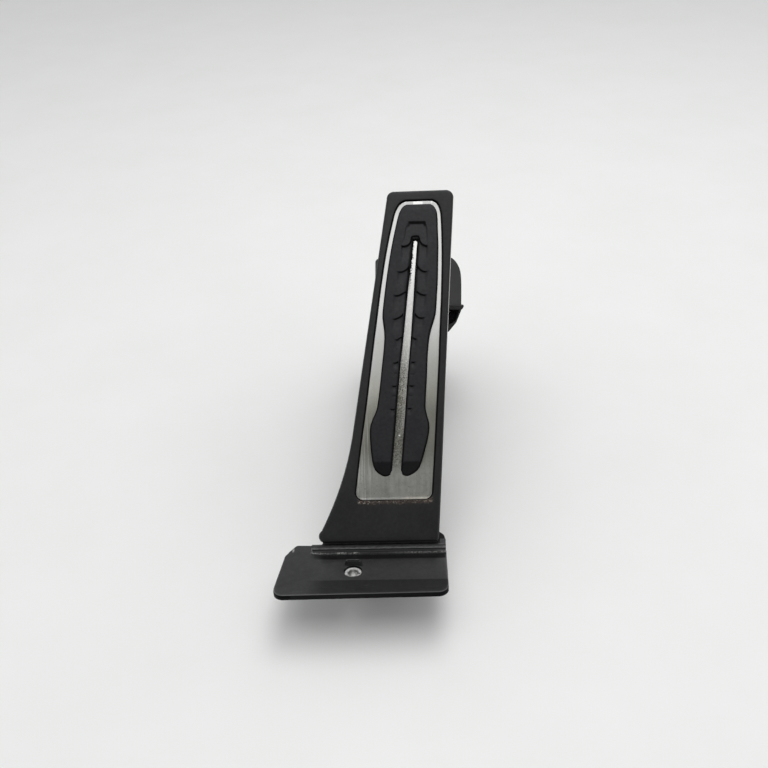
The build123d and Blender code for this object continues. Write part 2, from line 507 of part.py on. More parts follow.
lever = rod_x(HUB_R, LEVER_X0, LEVER_X1, LEVER_Y, LEVER_Z)
lever += prism([lever_yz(0, 5.7), lever_yz(0, -6.6), lever_yz(LEVER_R, -3.6), lever_yz(LEVER_R, 3.6)], 22.0, 31.0)
for s0, s1 in ((22.0, 23.8), (29.2, 31.0)):
    lever -= prism([lever_yz(16, 3.2), lever_yz(16, -4.0), lever_yz(94, -1.8), lever_yz(94, 1.6)], s0 - 0.2, s1 + 1.0 if s1 > 30 else s1)
ny, nz = lever_yz(LEVER_R, 0)
lever += rod_x(NOSE_R, 17.0, 36.0, ny, nz)
seat_y, seat_z = SPRING_Y, SPRING_Z1
lever += prism([(LEVER_Y, LEVER_Z + 6.0), (LEVER_Y, LEVER_Z - 6.5), (LEVER_Y + 22, seat_z + 0.4), (seat_y + 8, seat_z + 0.4), (seat_y + 8, seat_z + 4.0), (LEVER_Y + 16, seat_z + 7.5)],
               10.0, 26.0)
lever += rod_z(11.5, seat_z, seat_z + 4.0, SPRING_X, SPRING_Y)
lever += rod_z(4.2, seat_z - 5.0, seat_z + 1.0, SPRING_X, SPRING_Y)
lever += prism([(LEVER_Y + 8.6, LEVER_Z - 1.0), (LEVER_Y + 24, LEVER_Z + 0.0), (LEVER_Y + 24, LEVER_Z + 9.0), (LEVER_Y + 8.6, LEVER_Z + 8.0)], 25.0, 35.6)
magnet = block(32.6, 36.2, LEVER_Y + 14.0, LEVER_Y + 22.0, LEVER_Z + 1.0, LEVER_Z + 7.0)
lever -= magnet
bushes = Part()
for a, b in ((LEVER_X0, LEVER_X0 + 8), (LEVER_X1 - 8, LEVER_X1)):
    bushes += rod_x(5.6, a, b, LEVER_Y, LEVER_Z)
lever -= bushes
bushes -= rod_x(PIN_R + BUSH_CLEAR, 0, 50, LEVER_Y, LEVER_Z)
lever -= rod_x(PIN_R + 0.4, 0, 50, LEVER_Y, LEVER_Z)
save(lever, "drive_lever")
save(bushes, "lever_bushes")
save(magnet, "sensor_magnet")


# ------------------------------------------------------------------ springs
def coil(mean_r, wire_r, turns, z0, z1):
    height = z1 - z0 - 2 * wire_r
    path = Helix(pitch=height / turns, height=height, radius=mean_r)
    start = Plane(origin=path @ 0, z_dir=path % 0)
    wire = sweep(start * Circle(wire_r), path=path, is_frenet=True)
    return Pos(SPRING_X, SPRING_Y, z0 + wire_r) * wire


save(coil(10.0, 1.05, 6, SPRING_Z0 + 0.05, SPRING_Z1 - 0.1), "return_spring_outer")
save(coil(6.6, 0.8, 8, SPRING_Z0 + 0.05, SPRING_Z1 - 0.1), "return_spring_inner")
cup = rod_z(13.0, 2.5, 8.0, SPRING_X, SPRING_Y) - rod_z(11.3, SPRING_Z0, 9, SPRING_X, SPRING_Y) + rod_z(5.4, 2.5, 9.0, SPRING_X, SPRING_Y)
save(cup, "spring_cup")

# --------------------------------------------------- friction and end stops
shoe = prism([(108.0, 2.5), (121.0, 2.5), (121.0, 42.0), (108.0, 42.0)], 11.0, 30.0) - rod_x(HUB_R + 0.3, 0, 50, LEVER_Y, LEVER_Z)
shoe -= prism([(108.0, 30.0), (108.0, 43.0), (110.5, 43.0), (110.5, 30.0)], 0, 50) + prism([(119.0, 30.0), (119.0, 43.0), (122.0, 43.0), (122.0, 30.0)], 0, 50)
save(shoe, "friction_shoe")

idle = prism_roof([(106.0, -19.0), (116.6, -19.0), (120.0, -15.6), (118.4, -14.6), (106.0, -16.2)], 21.2, 31.8)
save(idle, "idle_stop")

stops = Part()
for x in (4.0, 37.5):
    s = rod_z(4.5, ROOF_Q, -12.9, x, 150.0)
    s = soften(s, s.edges().filter_by(GeomType.CIRCLE).sort_by(Axis.Z)[-1:], 1.4)
    s = ROOF.location * s
    stops += s
save(stops, "full_stops")
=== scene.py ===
import json
import math

import bpy
import numpy as np
from mathutils import Matrix, Vector
from mathutils.geometry import delaunay_2d_cdt


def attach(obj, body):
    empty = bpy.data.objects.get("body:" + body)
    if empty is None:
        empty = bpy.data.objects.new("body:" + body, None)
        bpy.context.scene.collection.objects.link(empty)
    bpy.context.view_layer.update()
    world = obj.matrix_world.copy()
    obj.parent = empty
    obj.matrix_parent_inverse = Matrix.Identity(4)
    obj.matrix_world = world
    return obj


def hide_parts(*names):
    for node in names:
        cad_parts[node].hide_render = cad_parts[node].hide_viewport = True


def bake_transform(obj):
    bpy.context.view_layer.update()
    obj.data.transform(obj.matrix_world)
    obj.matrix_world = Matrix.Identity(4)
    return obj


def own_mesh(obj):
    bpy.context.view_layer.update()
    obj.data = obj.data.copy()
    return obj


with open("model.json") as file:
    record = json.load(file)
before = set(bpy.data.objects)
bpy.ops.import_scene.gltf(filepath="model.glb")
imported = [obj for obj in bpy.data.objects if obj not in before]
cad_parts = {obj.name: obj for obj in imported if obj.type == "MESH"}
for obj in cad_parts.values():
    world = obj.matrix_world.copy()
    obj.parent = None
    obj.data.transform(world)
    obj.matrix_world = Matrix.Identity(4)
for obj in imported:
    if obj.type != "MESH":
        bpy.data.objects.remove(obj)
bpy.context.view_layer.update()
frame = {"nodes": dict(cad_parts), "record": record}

nodes = frame["nodes"]
scene = bpy.context.scene
scene.view_settings.view_transform = "Standard"
scene.view_settings.look = "None"

# ------------------------------------------------------------ local planes
# Pieces are drawn in millimetres on the pad's plane (X, V up the pad, W out of
# it) or on the foot plate's plane (X, U away from the driver, N out of it).
MM = 0.001
SHIFT = np.array((-18.75, -166.0, 0.0))
HINGE_Z = 27.0
PAD_ANGLE, FOOT_ANGLE = 40.0, -13.0


def tilted(angle):
    c, s = math.cos(math.radians(angle)), math.sin(math.radians(angle))

    def place(p):
        p = np.asarray(p, float).reshape(-1, 3)
        x, t, n = p[:, 0], p[:, 1], p[:, 2]
        return (np.stack([x, t * c - n * s, HINGE_Z + t * s + n * c], 1) + SHIFT) * MM

    return place


on_pad, on_foot = tilted(PAD_ANGLE), tilted(FOOT_ANGLE)


def flat(p):
    return (np.asarray(p, float).reshape(-1, 3) + SHIFT) * MM


# ------------------------------------------------------------------- curves
def line(a, b, step=0.7):
    n = max(1, int(round(math.dist(a, b) / step)))
    return [(a[0] + (b[0] - a[0]) * i / n, a[1] + (b[1] - a[1]) * i / n) for i in range(n)]


def arc(a, m, b, step=0.35):
    """Arc from a through m to b, without b."""
    ax, ay, mx, my, bx, by = *a, *m, *b
    d = 2 * (ax * (my - by) + mx * (by - ay) + bx * (ay - my))
    a2, m2, b2 = ax * ax + ay * ay, mx * mx + my * my, bx * bx + by * by
    cx = (a2 * (my - by) + m2 * (by - ay) + b2 * (ay - my)) / d
    cy = (a2 * (bx - mx) + m2 * (ax - bx) + b2 * (mx - ax)) / d
    r = math.hypot(ax - cx, ay - cy)
    t0, tm, t1 = (math.atan2(y - cy, x - cx) for x, y in (a, m, b))
    turn = (t1 - t0) % (2 * math.pi)
    if (tm - t0) % (2 * math.pi) > turn:
        turn -= 2 * math.pi
    n = max(3, int(round(abs(turn) * r / step)))
    return [(cx + r * math.cos(t0 + turn * i / n), cy + r * math.sin(t0 + turn * i / n)) for i in range(n)]


def spline(pts, step=0.5):
    """Smooth curve through the points, without the last one."""
    p = [np.array(q, float) for q in pts]
    p = [2 * p[0] - p[1]] + p + [2 * p[-1] - p[-2]]
    out = []
    for i in range(1, len(p) - 2):
        t = [0.0]
        for k in range(3):
            t.append(t[-1] + max(np.linalg.norm(p[i + k] - p[i + k - 1]), 1e-6) ** 0.5)
        n = max(2, int(round(np.linalg.norm(p[i + 1] - p[i]) / step)))
        for j in range(n):
            s = t[1] + (t[2] - t[1]) * j / n
            a = [(t[k + 1] - s) / (t[k + 1] - t[k]) * p[i - 1 + k] + (s - t[k]) / (t[k + 1] - t[k]) * p[i + k] for k in range(3)]
            b = [(t[k + 2] - s) / (t[k + 2] - t[k]) * a[k] + (s - t[k]) / (t[k + 2] - t[k]) * a[k + 1] for k in range(2)]
            c = (t[2] - s) / (t[2] - t[1]) * b[0] + (s - t[1]) / (t[2] - t[1]) * b[1]
            out.append((float(c[0]), float(c[1])))
    return out


def rounded(pts, radii, step=0.4):
    """Closed polygon with each corner rounded by its radius."""
    out, n = [], len(pts)
    for i in range(n):
        p, q, s = (np.array(pts[k % n], float) for k in (i - 1, i, i + 1))
        u, w = (p - q) / np.linalg.norm(p - q), (s - q) / np.linalg.norm(s - q)
        half = math.acos(max(-1, min(1, float(u @ w)))) / 2
        r = radii[i]
        cut = r / math.tan(half)
        a, b = q + u * cut, q + w * cut
        mid = (u + w) / np.linalg.norm(u + w)
        m = q + mid * (r / math.sin(half) - r)
        if out:
            out += line(out_end, tuple(a), 0.7)
        else:
            first = tuple(a)
        out += arc(tuple(a), tuple(m), tuple(b), step)
        out_end = tuple(b)
    return out + line(out_end, first, 0.7)


def circle(cx, cy, r, n, clockwise=False):
    k = -1 if clockwise else 1
    return [(cx + r * math.cos(k * 2 * math.pi * i / n), cy + r * math.sin(k * 2 * math.pi * i / n)) for i in range(n)]


def far_from(p, loop):
    """Distance of each point from a closed loop."""
    a = np.asarray(loop, float)
    d = np.roll(a, -1, 0) - a
    length = (d * d).sum(1)
    out = np.empty(len(p))
    for i in range(0, len(p), 1500):
        r = p[i:i + 1500, None, :] - a[None]
        t = np.clip((r * d).sum(2) / length, 0, 1)
        e = r - t[..., None] * d
        out[i:i + 1500] = np.sqrt((e * e).sum(2).min(1))
    return out


def within(p, loop):
    a = np.asarray(loop, float)
    b = np.roll(a, -1, 0)
    out = np.empty(len(p), bool)
    for i in range(0, len(p), 3000):
        x, y = p[i:i + 3000, 0, None], p[i:i + 3000, 1, None]
        cross = (a[:, 1] > y) != (b[:, 1] > y)
        with np.errstate(divide="ignore", invalid="ignore"):
            at = a[:, 0] + (y - a[:, 1]) / (b[:, 1] - a[:, 1]) * (b[:, 0] - a[:, 0])
        out[i:i + 3000] = (cross & (x < at)).sum(1) % 2 == 1
    return out


def offset(loop, d):
    """The loop's points moved to its left by d."""
    a = np.asarray(loop, float)
    t = np.roll(a, -1, 0) - np.roll(a, 1, 0)
    t /= np.linalg.norm(t, axis=1)[:, None]
    return a + d * np.stack([-t[:, 1], t[:, 0]], 1)


def smooth(a, b, x):
    t = np.clip((x - a) / (b - a), 0, 1)
    return t * t * (3 - 2 * t)


def rolled(d, r):
    """How far a rounded edge of radius r has dropped at distance d from it."""
    e = np.clip(r - d, 0, r)
    return r - np.sqrt(np.maximum(r * r - e * e, 0))


# ------------------------------------------------------------------- meshes
def make(name, verts, faces, crease=35.0):
    mesh = bpy.data.meshes.new(name)
    mesh.from_pydata([tuple(v) for v in verts], [], faces)
    mesh.validate()
    mesh.shade_smooth()
    mesh.set_sharp_from_angle(angle=math.radians(crease))
    obj = bpy.data.objects.new(name, mesh)
    scene.collection.objects.link(obj)
    return obj


def relief(name, loop, height, floor, place, rings=(0.3,), grid=1.0, extra=None, holes=(), inner=(), more=(), shade=None, under=0.0, painted_highlight=None, crease=35.0):
    """Closed solid over an outline: a top whose height is a function of place, straight walls and a flat floor.
    rings are distances from the edges that get their own rows of points, inner are more loops the mesh follows,
    more are further closed solids of the same moulding, shade is how much painted shade darkens the surface, under the
    same for the lower points, and the highlight function how much a painted highlight lightens it."""
    loops = [np.asarray(loop, float)] + [np.asarray(h, float) for h in holes]
    guides = [np.asarray(g, float) for g in inner]
    box_lo, box_hi = loops[0].min(0), loops[0].max(0)
    reach = max(rings)
    spots = []
    for r in rings:
        for l in loops:
            p = offset(l, r)
            spots.append(p[np.min([far_from(p, k) for k in loops], 0) > 0.96 * r])
    gx, gy = np.meshgrid(np.arange(box_lo[0], box_hi[0], grid), np.arange(box_lo[1], box_hi[1], grid * 0.866))
    gx = gx + (np.arange(gx.shape[0]) % 2)[:, None] * grid / 2
    p = np.stack([gx.ravel(), gy.ravel()], 1)
    near = np.min([far_from(p, k) for k in loops + guides], 0) if guides else np.min([far_from(p, k) for k in loops], 0)
    clear = near > 0.5 * grid
    clear &= np.min([far_from(p, k) for k in loops], 0) > reach + 0.35 * grid
    p = p[clear]
    if extra is not None and len(extra):
        e = np.asarray(extra, float)
        e = e[np.min([far_from(e, k) for k in loops], 0) > reach + 0.05]
        cell = {}
        for q in e:
            cell.setdefault((int(q[0] // grid), int(q[1] // grid)), []).append(q)
        kept = []
        for q in p:
            i, j = int(q[0] // grid), int(q[1] // grid)
            close = any((q[0] - s[0]) ** 2 + (q[1] - s[1]) ** 2 < (0.45 * grid) ** 2
                        for a in (-1, 0, 1) for b in (-1, 0, 1) for s in cell.get((i + a, j + b), ()))
            if not close:
                kept.append(q)
        p = np.concatenate([np.array(kept).reshape(-1, 2), e])
    spots.append(p)
    free = np.concatenate(spots)
    free = free[within(free, loops[0])]
    for h in loops[1:]:
        free = free[~within(free, h)]
    points, edges, start = [], [], 0
    for l in loops + guides:
        points += [tuple(q) for q in l]
        edges += [(start + i, start + (i + 1) % len(l)) for i in range(len(l))]
        start += len(l)
    points += [tuple(q) for q in free]

    def fill(points, edges):
        v, _, f, came, _, _ = delaunay_2d_cdt([Vector(q) for q in points], edges, [], 1, 1e-6)
        v = np.array([(q[0], q[1]) for q in v])
        f = np.array([t for t in f if len(t) == 3])
        c = v[f].mean(1)
        ok = within(c, loops[0])
        for h in loops[1:]:
            ok &= ~within(c, h)
        f = f[ok]
        e1, e2 = v[f[:, 1]] - v[f[:, 0]], v[f[:, 2]] - v[f[:, 0]]
        area = e1[:, 0] * e2[:, 1] - e1[:, 1] * e2[:, 0]
        f[area < 0] = f[area < 0][:, ::-1]
        back = {}
        for i, src in enumerate(came):
            for s in src:
                back[s] = i
        return v, f, back

    v, f, back = fill(points, edges)
    d = far_from(v, loops[0])
    top = height(v[:, 0], v[:, 1], d)
    verts = list(place(np.column_stack([v, top])))
    faces = [tuple(int(i) for i in t) for t in f]
    # walls and floor
    rim_points, rim_edges, first, start = [], [], len(verts), 0
    for l in loops:
        n = len(l)
        low = place(np.column_stack([l, np.full(n, floor)]))
        base = len(verts)
        verts += list(low)
        for i in range(n):
            j = (i + 1) % n
            a, b = back[start + i], back[start + j]
            faces.append((base + i, base + j, b, a))
        rim_edges += [(len(rim_points) + i, len(rim_points) + (i + 1) % n) for i in range(n)]
        rim_points += [tuple(q) for q in l]
        start += n
    _, f, back = fill(rim_points, rim_edges)
    where = {i: first + s for s, i in back.items()}
    faces += [tuple(where[int(i)] for i in t[::-1]) for t in f if all(int(i) in where for i in t)]
    for points, quads in more:
        faces += [tuple(len(verts) + i for i in q) for q in quads]
        verts += list(points)
    obj = make(name, verts, faces, crease)
    # painted shade stored on the points: darkens the surface where shade falls; the lower points get the value under
    if shade is not None:
        painted_shade = np.full(len(obj.data.vertices), under, np.float32)
        painted_shade[:len(v)] = np.clip(shade(v[:, 0], v[:, 1], d), 0, 1)
        obj.data.attributes.new("painted_shade", "FLOAT", "POINT").data.foreach_set("value", painted_shade)
    # painted highlight stored on the points: lightens the surface along an edge
    if painted_highlight is not None:
        wear_and_painted_highlight = np.zeros(len(obj.data.vertices), np.float32)
        wear_and_painted_highlight[:len(v)] = np.clip(painted_highlight(v[:, 0], v[:, 1], d), 0, 1)
        obj.data.attributes.new("painted_highlight", "FLOAT", "POINT").data.foreach_set("value", wear_and_painted_highlight)
    return obj


def turned(place, cx, cy, profile, n=48):
    """Ring turned about an axis: a closed profile of radius and height, counter-clockwise."""
    k = len(profile)
    points = [(cx + r * math.cos(2 * math.pi * i / n), cy + r * math.sin(2 * math.pi * i / n), h) for i in range(n) for r, h in profile]
    quads = []
    for i in range(n):
        for j in range(k):
            a, b = i * k, (i + 1) % n * k
            quads.append((a + j, b + j, b + (j + 1) % k, a + (j + 1) % k))
    return place(points), quads


def loft(name, sections, closed_ring=True, caps=True, crease=35.0):
    """Skin over equal rings of points, in metres."""
    n = len(sections[0])
    verts = [p for s in sections for p in s]
    faces = []
    for k in range(len(sections) - 1):
        for i in range(n if closed_ring else n - 1):
            j = (i + 1) % n
            faces.append((k * n + i, k * n + j, (k + 1) * n + j, (k + 1) * n + i))
    if caps:
        faces.append(tuple(range(n))[::-1])
        faces.append(tuple((len(sections) - 1) * n + i for i in range(n)))
    return make(name, verts, faces, crease)


# ---------------------------------------------------------------- materials
class Surface:
    """A node material built step by step. Coordinates are in millimetres."""

    def __init__(self, name, color=(0.02, 0.02, 0.02), rough=0.5, metal=0.0, spec=0.5):
        self.mat = bpy.data.materials.new(name)
        self.mat.use_nodes = True
        self.tree = self.mat.node_tree
        self.tree.nodes.clear()
        self.bsdf = self.node("ShaderNodeBsdfPrincipled")
        out = self.node("ShaderNodeOutputMaterial")
        self.tree.links.new(self.bsdf.outputs[0], out.inputs[0])
        self.put("Base Color", (*color, 1.0))
        self.put("Roughness", rough)
        self.put("Metallic", metal)
        self.put("Specular IOR Level", spec)

    def node(self, kind, **props):
        n = self.tree.nodes.new(kind)
        for k, v in props.items():
            setattr(n, k, v)
        return n

    def wire(self, value, socket):
        if isinstance(value, bpy.types.NodeSocket):
            self.tree.links.new(value, socket)
        else:
            socket.default_value = value

    def put(self, name, value):
        self.wire(value, self.bsdf.inputs[name])

    def coords(self, angle=None):
        """Object coordinates in millimetres, on a tilted plane if an angle is given."""
        c = self.node("ShaderNodeTexCoord")
        m = self.node("ShaderNodeMapping")
        self.wire(c.outputs["Object"], m.inputs["Vector"])
        m.inputs["Scale"].default_value = (1000.0, 1000.0, 1000.0)
        if angle is not None:
            a = math.radians(-angle)
            y, z = -SHIFT[1], -HINGE_Z
            m.inputs["Rotation"].default_value = (a, 0.0, 0.0)
            m.inputs["Location"].default_value = (-SHIFT[0], y * math.cos(a) - z * math.sin(a), y * math.sin(a) + z * math.cos(a))
        return m.outputs[0]

    def axes(self, vec):
        n = self.node("ShaderNodeSeparateXYZ")
        self.wire(vec, n.inputs[0])
        return n.outputs[0], n.outputs[1], n.outputs[2]

    def stretch(self, vec, s):
        n = self.node("ShaderNodeVectorMath", operation="MULTIPLY")
        self.wire(vec, n.inputs[0])
        n.inputs[1].default_value = s
        return n.outputs[0]

    def noise(self, vec, scale, detail=2.0, rough=0.5, stretch=None, distort=0.0):
        n = self.node("ShaderNodeTexNoise")
        self.wire(self.stretch(vec, stretch) if stretch else vec, n.inputs["Vector"])
        n.inputs["Scale"].default_value = scale
        n.inputs["Detail"].default_value = detail
        n.inputs["Roughness"].default_value = rough
        n.inputs["Distortion"].default_value = distort
        return n.outputs[0]

    def cells(self, vec, scale, feature="F1", stretch=None):
        n = self.node("ShaderNodeTexVoronoi", feature=feature)
        self.wire(self.stretch(vec, stretch) if stretch else vec, n.inputs["Vector"])
        n.inputs["Scale"].default_value = scale
        return n.outputs["Distance"]

    def span(self, value, a, b, c=0.0, d=1.0, soft=False):
        n = self.node("ShaderNodeMapRange", interpolation_type="SMOOTHSTEP" if soft else "LINEAR")
        self.wire(value, n.inputs["Value"])
        for k, x in zip(("From Min", "From Max", "To Min", "To Max"), (a, b, c, d)):
            n.inputs[k].default_value = x
        return n.outputs[0]

    def sum(self, op, a, b=0.0, clamp=False):
        n = self.node("ShaderNodeMath", operation=op, use_clamp=clamp)
        self.wire(a, n.inputs[0])
        self.wire(b, n.inputs[1])
        return n.outputs[0]

    def blend(self, fac, a, b):
        n = self.node("ShaderNodeMix", data_type="RGBA")
        self.wire(fac, n.inputs[0])
        for v, s in ((a, n.inputs[6]), (b, n.inputs[7])):
            self.wire(v if isinstance(v, bpy.types.NodeSocket) else (*v, 1.0), s)
        return n.outputs[2]

    def bump(self, height, strength, depth, normal=None):
        n = self.node("ShaderNodeBump")
        self.wire(height, n.inputs["Height"])
        n.inputs["Strength"].default_value = strength
        n.inputs["Distance"].default_value = depth * MM
        if normal is not None:
            self.wire(normal, n.inputs["Normal"])
        return n.outputs[0]

    def stored(self, name):
        """A value stored on the points of a piece."""
        return self.node("ShaderNodeAttribute", attribute_name=name).outputs["Fac"]

    def soft_edges(self, radius):
        n = self.node("ShaderNodeBevel", samples=4)
        n.inputs["Radius"].default_value = radius * MM
        return n.outputs[0]


def plastic(name, color, light, rough, grain, depth, angle=None, edge=0.35):
    """Moulded black plastic: fine grain, faint cloudiness and rounded edges."""
    s = Surface(name, color, rough, 0.0, 0.34)
    vec = s.coords(angle)
    cloud = s.noise(vec, 0.045, 3.0, 0.6)
    fine = s.noise(vec, grain, 2.0, 0.55)
    dust = s.noise(vec, 0.6, 4.0, 0.7)
    tone = s.blend(s.span(cloud, 0.3, 0.75), color, light)
    s.put("Base Color", s.blend(s.span(dust, 0.62, 0.8, 0.0, 0.35), tone, tuple(2.2 * c for c in light)))
    s.put("Roughness", s.sum("ADD", s.span(cloud, 0.25, 0.75, rough - 0.06, rough + 0.06), s.span(fine, 0.2, 0.8, -0.05, 0.05)))
    s.put("Normal", s.bump(fine, 0.5, depth, s.soft_edges(edge) if edge else None))
    return s


def metal(name, color, dark, rough, stretch, scale=1.0, angle=None, edge=0.25):
    """Worked metal: fine streaks along one direction and slight staining."""
    s = Surface(name, color, rough, 1.0)
    vec = s.coords(angle)
    streak = s.noise(vec, scale, 3.0, 0.6, stretch)
    stain = s.noise(vec, 0.15, 3.0, 0.6)
    s.put("Base Color", s.blend(s.span(stain, 0.35, 0.75), color, dark))
    s.put("Roughness", s.sum("ADD", s.span(streak, 0.25, 0.75, rough - 0.07, rough + 0.07), s.span(stain, 0.3, 0.8, 0.0, 0.1)))
    s.put("Normal", s.bump(streak, 0.25, 0.02, s.soft_edges(edge) if edge else None))
    return s


mats = {}

# pad frame: grained black plastic, with road dirt along the inlay's lower edge
s = Surface("pad_plastic", (0.0085, 0.0085, 0.0092), 0.44, 0.0, 0.30)
vec = s.coords(PAD_ANGLE)
px, pv, pw = s.axes(vec)
cloud = s.noise(vec, 0.05, 3.0, 0.6)
fine = s.noise(vec, 2.4, 2.0, 0.6)
speck = s.noise(vec, 1.1, 4.0, 0.75)
tone = s.blend(s.span(cloud, 0.3, 0.75), (0.0072, 0.0072, 0.0080), (0.0105, 0.0105, 0.0105))
tone = s.blend(s.span(speck, 0.68, 0.84, 0.0, 0.45), tone, (0.032, 0.032, 0.030))
wob = s.noise(vec, 0.45, 3.0, 0.7, (1.0, 0.4, 1.0))
grit = s.noise(vec, 1.3, 3.0, 0.8)
low = s.sum("MULTIPLY", s.span(s.sum("ADD", pv, s.span(wob, 0.3, 0.7, -0.9, 0.9)), 29.2, 30.6, soft=True), s.span(pv, 33.0, 34.0, 1.0, 0.0))
low = s.sum("MULTIPLY", low, s.sum("MULTIPLY", s.span(px, -13.5, -11.5), s.span(px, 34.0, 36.5, 1.0, 0.0)))
brown = s.blend(s.span(grit, 0.50, 0.58), (0.011, 0.0078, 0.0064), (0.135, 0.095, 0.070))
chalk = s.sum("MULTIPLY", s.span(s.noise(vec, 1.1, 2.0, 0.8), 0.57, 0.62), s.span(px, -4.0, 2.0, 1.0, 0.65))
brown = s.blend(chalk, brown, (0.40, 0.36, 0.31))
tone = s.blend(low, tone, brown)
stain = s.sum("MULTIPLY", s.span(pv, 25.5, 30.0, 0.0, 0.5, True), s.sum("MULTIPLY", s.span(px, -13.0, -6.0), s.span(px, 26.0, 36.0, 1.0, 0.0)))
tone = s.blend(s.sum("MULTIPLY", stain, s.span(pv, 31.0, 32.0, 1.0, 0.0)), tone, (0.0165, 0.0130, 0.0115))
# painted shade on the seat of the inlay, and a painted highlight along the right-hand edge
tone = s.blend(s.span(pw, 4.9, 5.1, 1.0, 0.0), tone, (0.003, 0.003, 0.003))
rim = s.sum("SUBTRACT", s.sum("ADD", s.sum("MULTIPLY", pv, 0.0716), 38.677), px)
painted_edge_highlight = s.sum("MULTIPLY", s.span(rim, 0.16, 0.34, 1.0, 0.0), s.sum("MULTIPLY", s.span(pv, 70.0, 120.0), s.span(pv, 200.0, 225.0, 1.0, 0.0)))
painted_edge_highlight = s.sum("MULTIPLY", s.sum("MULTIPLY", painted_edge_highlight, s.span(pw, 3.9, 4.1)), s.span(speck, 0.3, 0.5, 0.6, 1.0))
tone = s.blend(painted_edge_highlight, tone, (0.62, 0.62, 0.60))
# painted shade along the inlay's window darkens the colour and the gloss
painted_shade = s.stored("painted_shade")
s.put("Base Color", s.blend(painted_shade, tone, (0.0022, 0.0022, 0.0024)))
s.put("Specular IOR Level", s.sum("MULTIPLY", s.span(painted_shade, 0.0, 1.0, 1.0, 0.16), s.sum("ADD", s.span(s.noise(vec, 0.38, 4.0, 0.8), 0.3, 0.7, 0.24, 0.34), s.span(px, 30.0, 42.0, 0.0, -0.035))))
s.put("Roughness", s.sum("ADD", s.span(cloud, 0.25, 0.75, 0.39, 0.48), s.sum("ADD", s.span(fine, 0.2, 0.8, -0.05, 0.05), s.sum("MULTIPLY", low, 0.3))))
s.put("Normal", s.bump(s.sum("ADD", fine, s.sum("MULTIPLY", s.sum("MULTIPLY", low, grit), 3.0)), 0.45, 0.05))
mats["pad_plastic"] = s.mat

# foot plate: satin, with smears, hairline scratches and a duller strip along the front that carries a painted dark
# reflection
s = Surface("foot_plastic", (0.0085, 0.0085, 0.0090), 0.36, 0.0, 0.40)
vec = s.coords(FOOT_ANGLE)
fx, fu, fn = s.axes(vec)
smear = s.noise(vec, 0.09, 4.0, 0.65, (1.0, 1.8, 1.0), 0.6)
fine = s.noise(vec, 1.6, 2.0, 0.5)
scr = s.noise(s.stretch(vec, (0.05, 2.3, 1.0)), 1.0, 1.0, 0.4, None, 0.35)
hair = s.sum("MULTIPLY", s.span(scr, 0.69, 0.73), s.span(smear, 0.45, 0.62))
scr2 = s.noise(s.stretch(vec, (1.9, 0.09, 1.0)), 1.0, 1.0, 0.4, None, 0.5)
hair2 = s.sum("MULTIPLY", s.span(scr2, 0.72, 0.76), s.span(smear, 0.5, 0.65))
marks = s.sum("MAXIMUM", hair, s.sum("MULTIPLY", hair2, 0.7))
strip = s.sum("MULTIPLY", s.span(fu, -30.3, -29.5, 1.0, 0.0, True), s.span(fx, -47.0, -31.0, 0.0, 1.0, True))
strip = s.sum("MULTIPLY", strip, s.span(fu, -43.4, -42.4))
tone = s.blend(s.span(smear, 0.3, 0.75), (0.0078, 0.0078, 0.0083), (0.0110, 0.0110, 0.0108))
# painted dark reflection on the front strip
tone = s.blend(s.sum("MULTIPLY", strip, 0.8), tone, (0.0055, 0.0055, 0.0060))
tone = s.blend(s.sum("MULTIPLY", marks, 0.4), tone, (0.09, 0.09, 0.088))
# pale scuffs on the bead beside the hinge, and a painted glint on the wing
grit = s.noise(vec, 0.9, 3.0, 0.8)
sand = s.noise(vec, 1.5, 3.0, 0.85, (0.55, 1.0, 1.0))
bead = s.sum("MULTIPLY", s.sum("MULTIPLY", s.span(fu, -2.55, -2.2), s.span(fu, -1.7, -1.4, 1.0, 0.0)), s.span(fx, -43.9, -42.0))
run1 = s.sum("MULTIPLY", s.span(fx, -30.0, -26.0), s.span(fx, -22.0, -20.0, 1.0, 0.0))
run2 = s.sum("MULTIPLY", s.span(fx, -20.0, -18.0), s.span(fx, -14.0, -11.0, 1.0, 0.0))
ends = s.sum("MAXIMUM", s.span(fx, -36.0, -24.0, 0.55, 0.0), s.span(fx, 5.0, 25.0, 0.0, 0.5))
scuffs_and_glint = s.sum("MULTIPLY", s.sum("MAXIMUM", s.sum("MAXIMUM", run1, run2), ends), s.span(s.sum("ADD", grit, sand), 0.93, 1.16))
scuffs_and_glint = s.sum("MULTIPLY", bead, scuffs_and_glint)
# painted glint at the wing's rear corner
dx, du = s.sum("ADD", fx, 55.9), s.sum("MULTIPLY", s.sum("ADD", fu, -1.9), 0.32)
away = s.sum("SQRT", s.sum("ADD", s.sum("MULTIPLY", dx, dx), s.sum("MULTIPLY", du, du)))
scuffs_and_glint = s.sum("MAXIMUM", scuffs_and_glint, s.span(away, 0.1, 1.0, 0.5, 0.0, True))
# the thinner band beside the hinge is duller and carries a painted dark reflection, and its left end is gritty
band = s.sum("MULTIPLY", s.sum("MULTIPLY", s.span(fu, -9.0, -7.6), s.span(fu, -3.2, -2.7, 1.0, 0.0)), s.span(fx, -44.0, -37.0))
tone = s.blend(s.sum("MULTIPLY", band, s.span(grit, 0.3, 0.7, 1.0, 0.55)), tone, (0.0035, 0.0035, 0.0038))
left = s.sum("MULTIPLY", s.sum("MULTIPLY", s.span(fx, -46.5, -44.0), s.span(fx, -28.0, -18.0, 1.0, 0.0)), s.sum("MULTIPLY", s.span(fu, -5.5, -3.5), s.span(fu, 3.0, 5.0, 1.0, 0.0)))
tone = s.blend(s.sum("MULTIPLY", left, s.span(sand, 0.55, 0.75)), tone, (0.075, 0.075, 0.073))
tone = s.blend(s.sum("MULTIPLY", bead, s.span(grit, 0.35, 0.65, 0.1, 0.9)), tone, (0.056, 0.056, 0.056))
tone = s.blend(scuffs_and_glint, tone, (0.55, 0.54, 0.52))
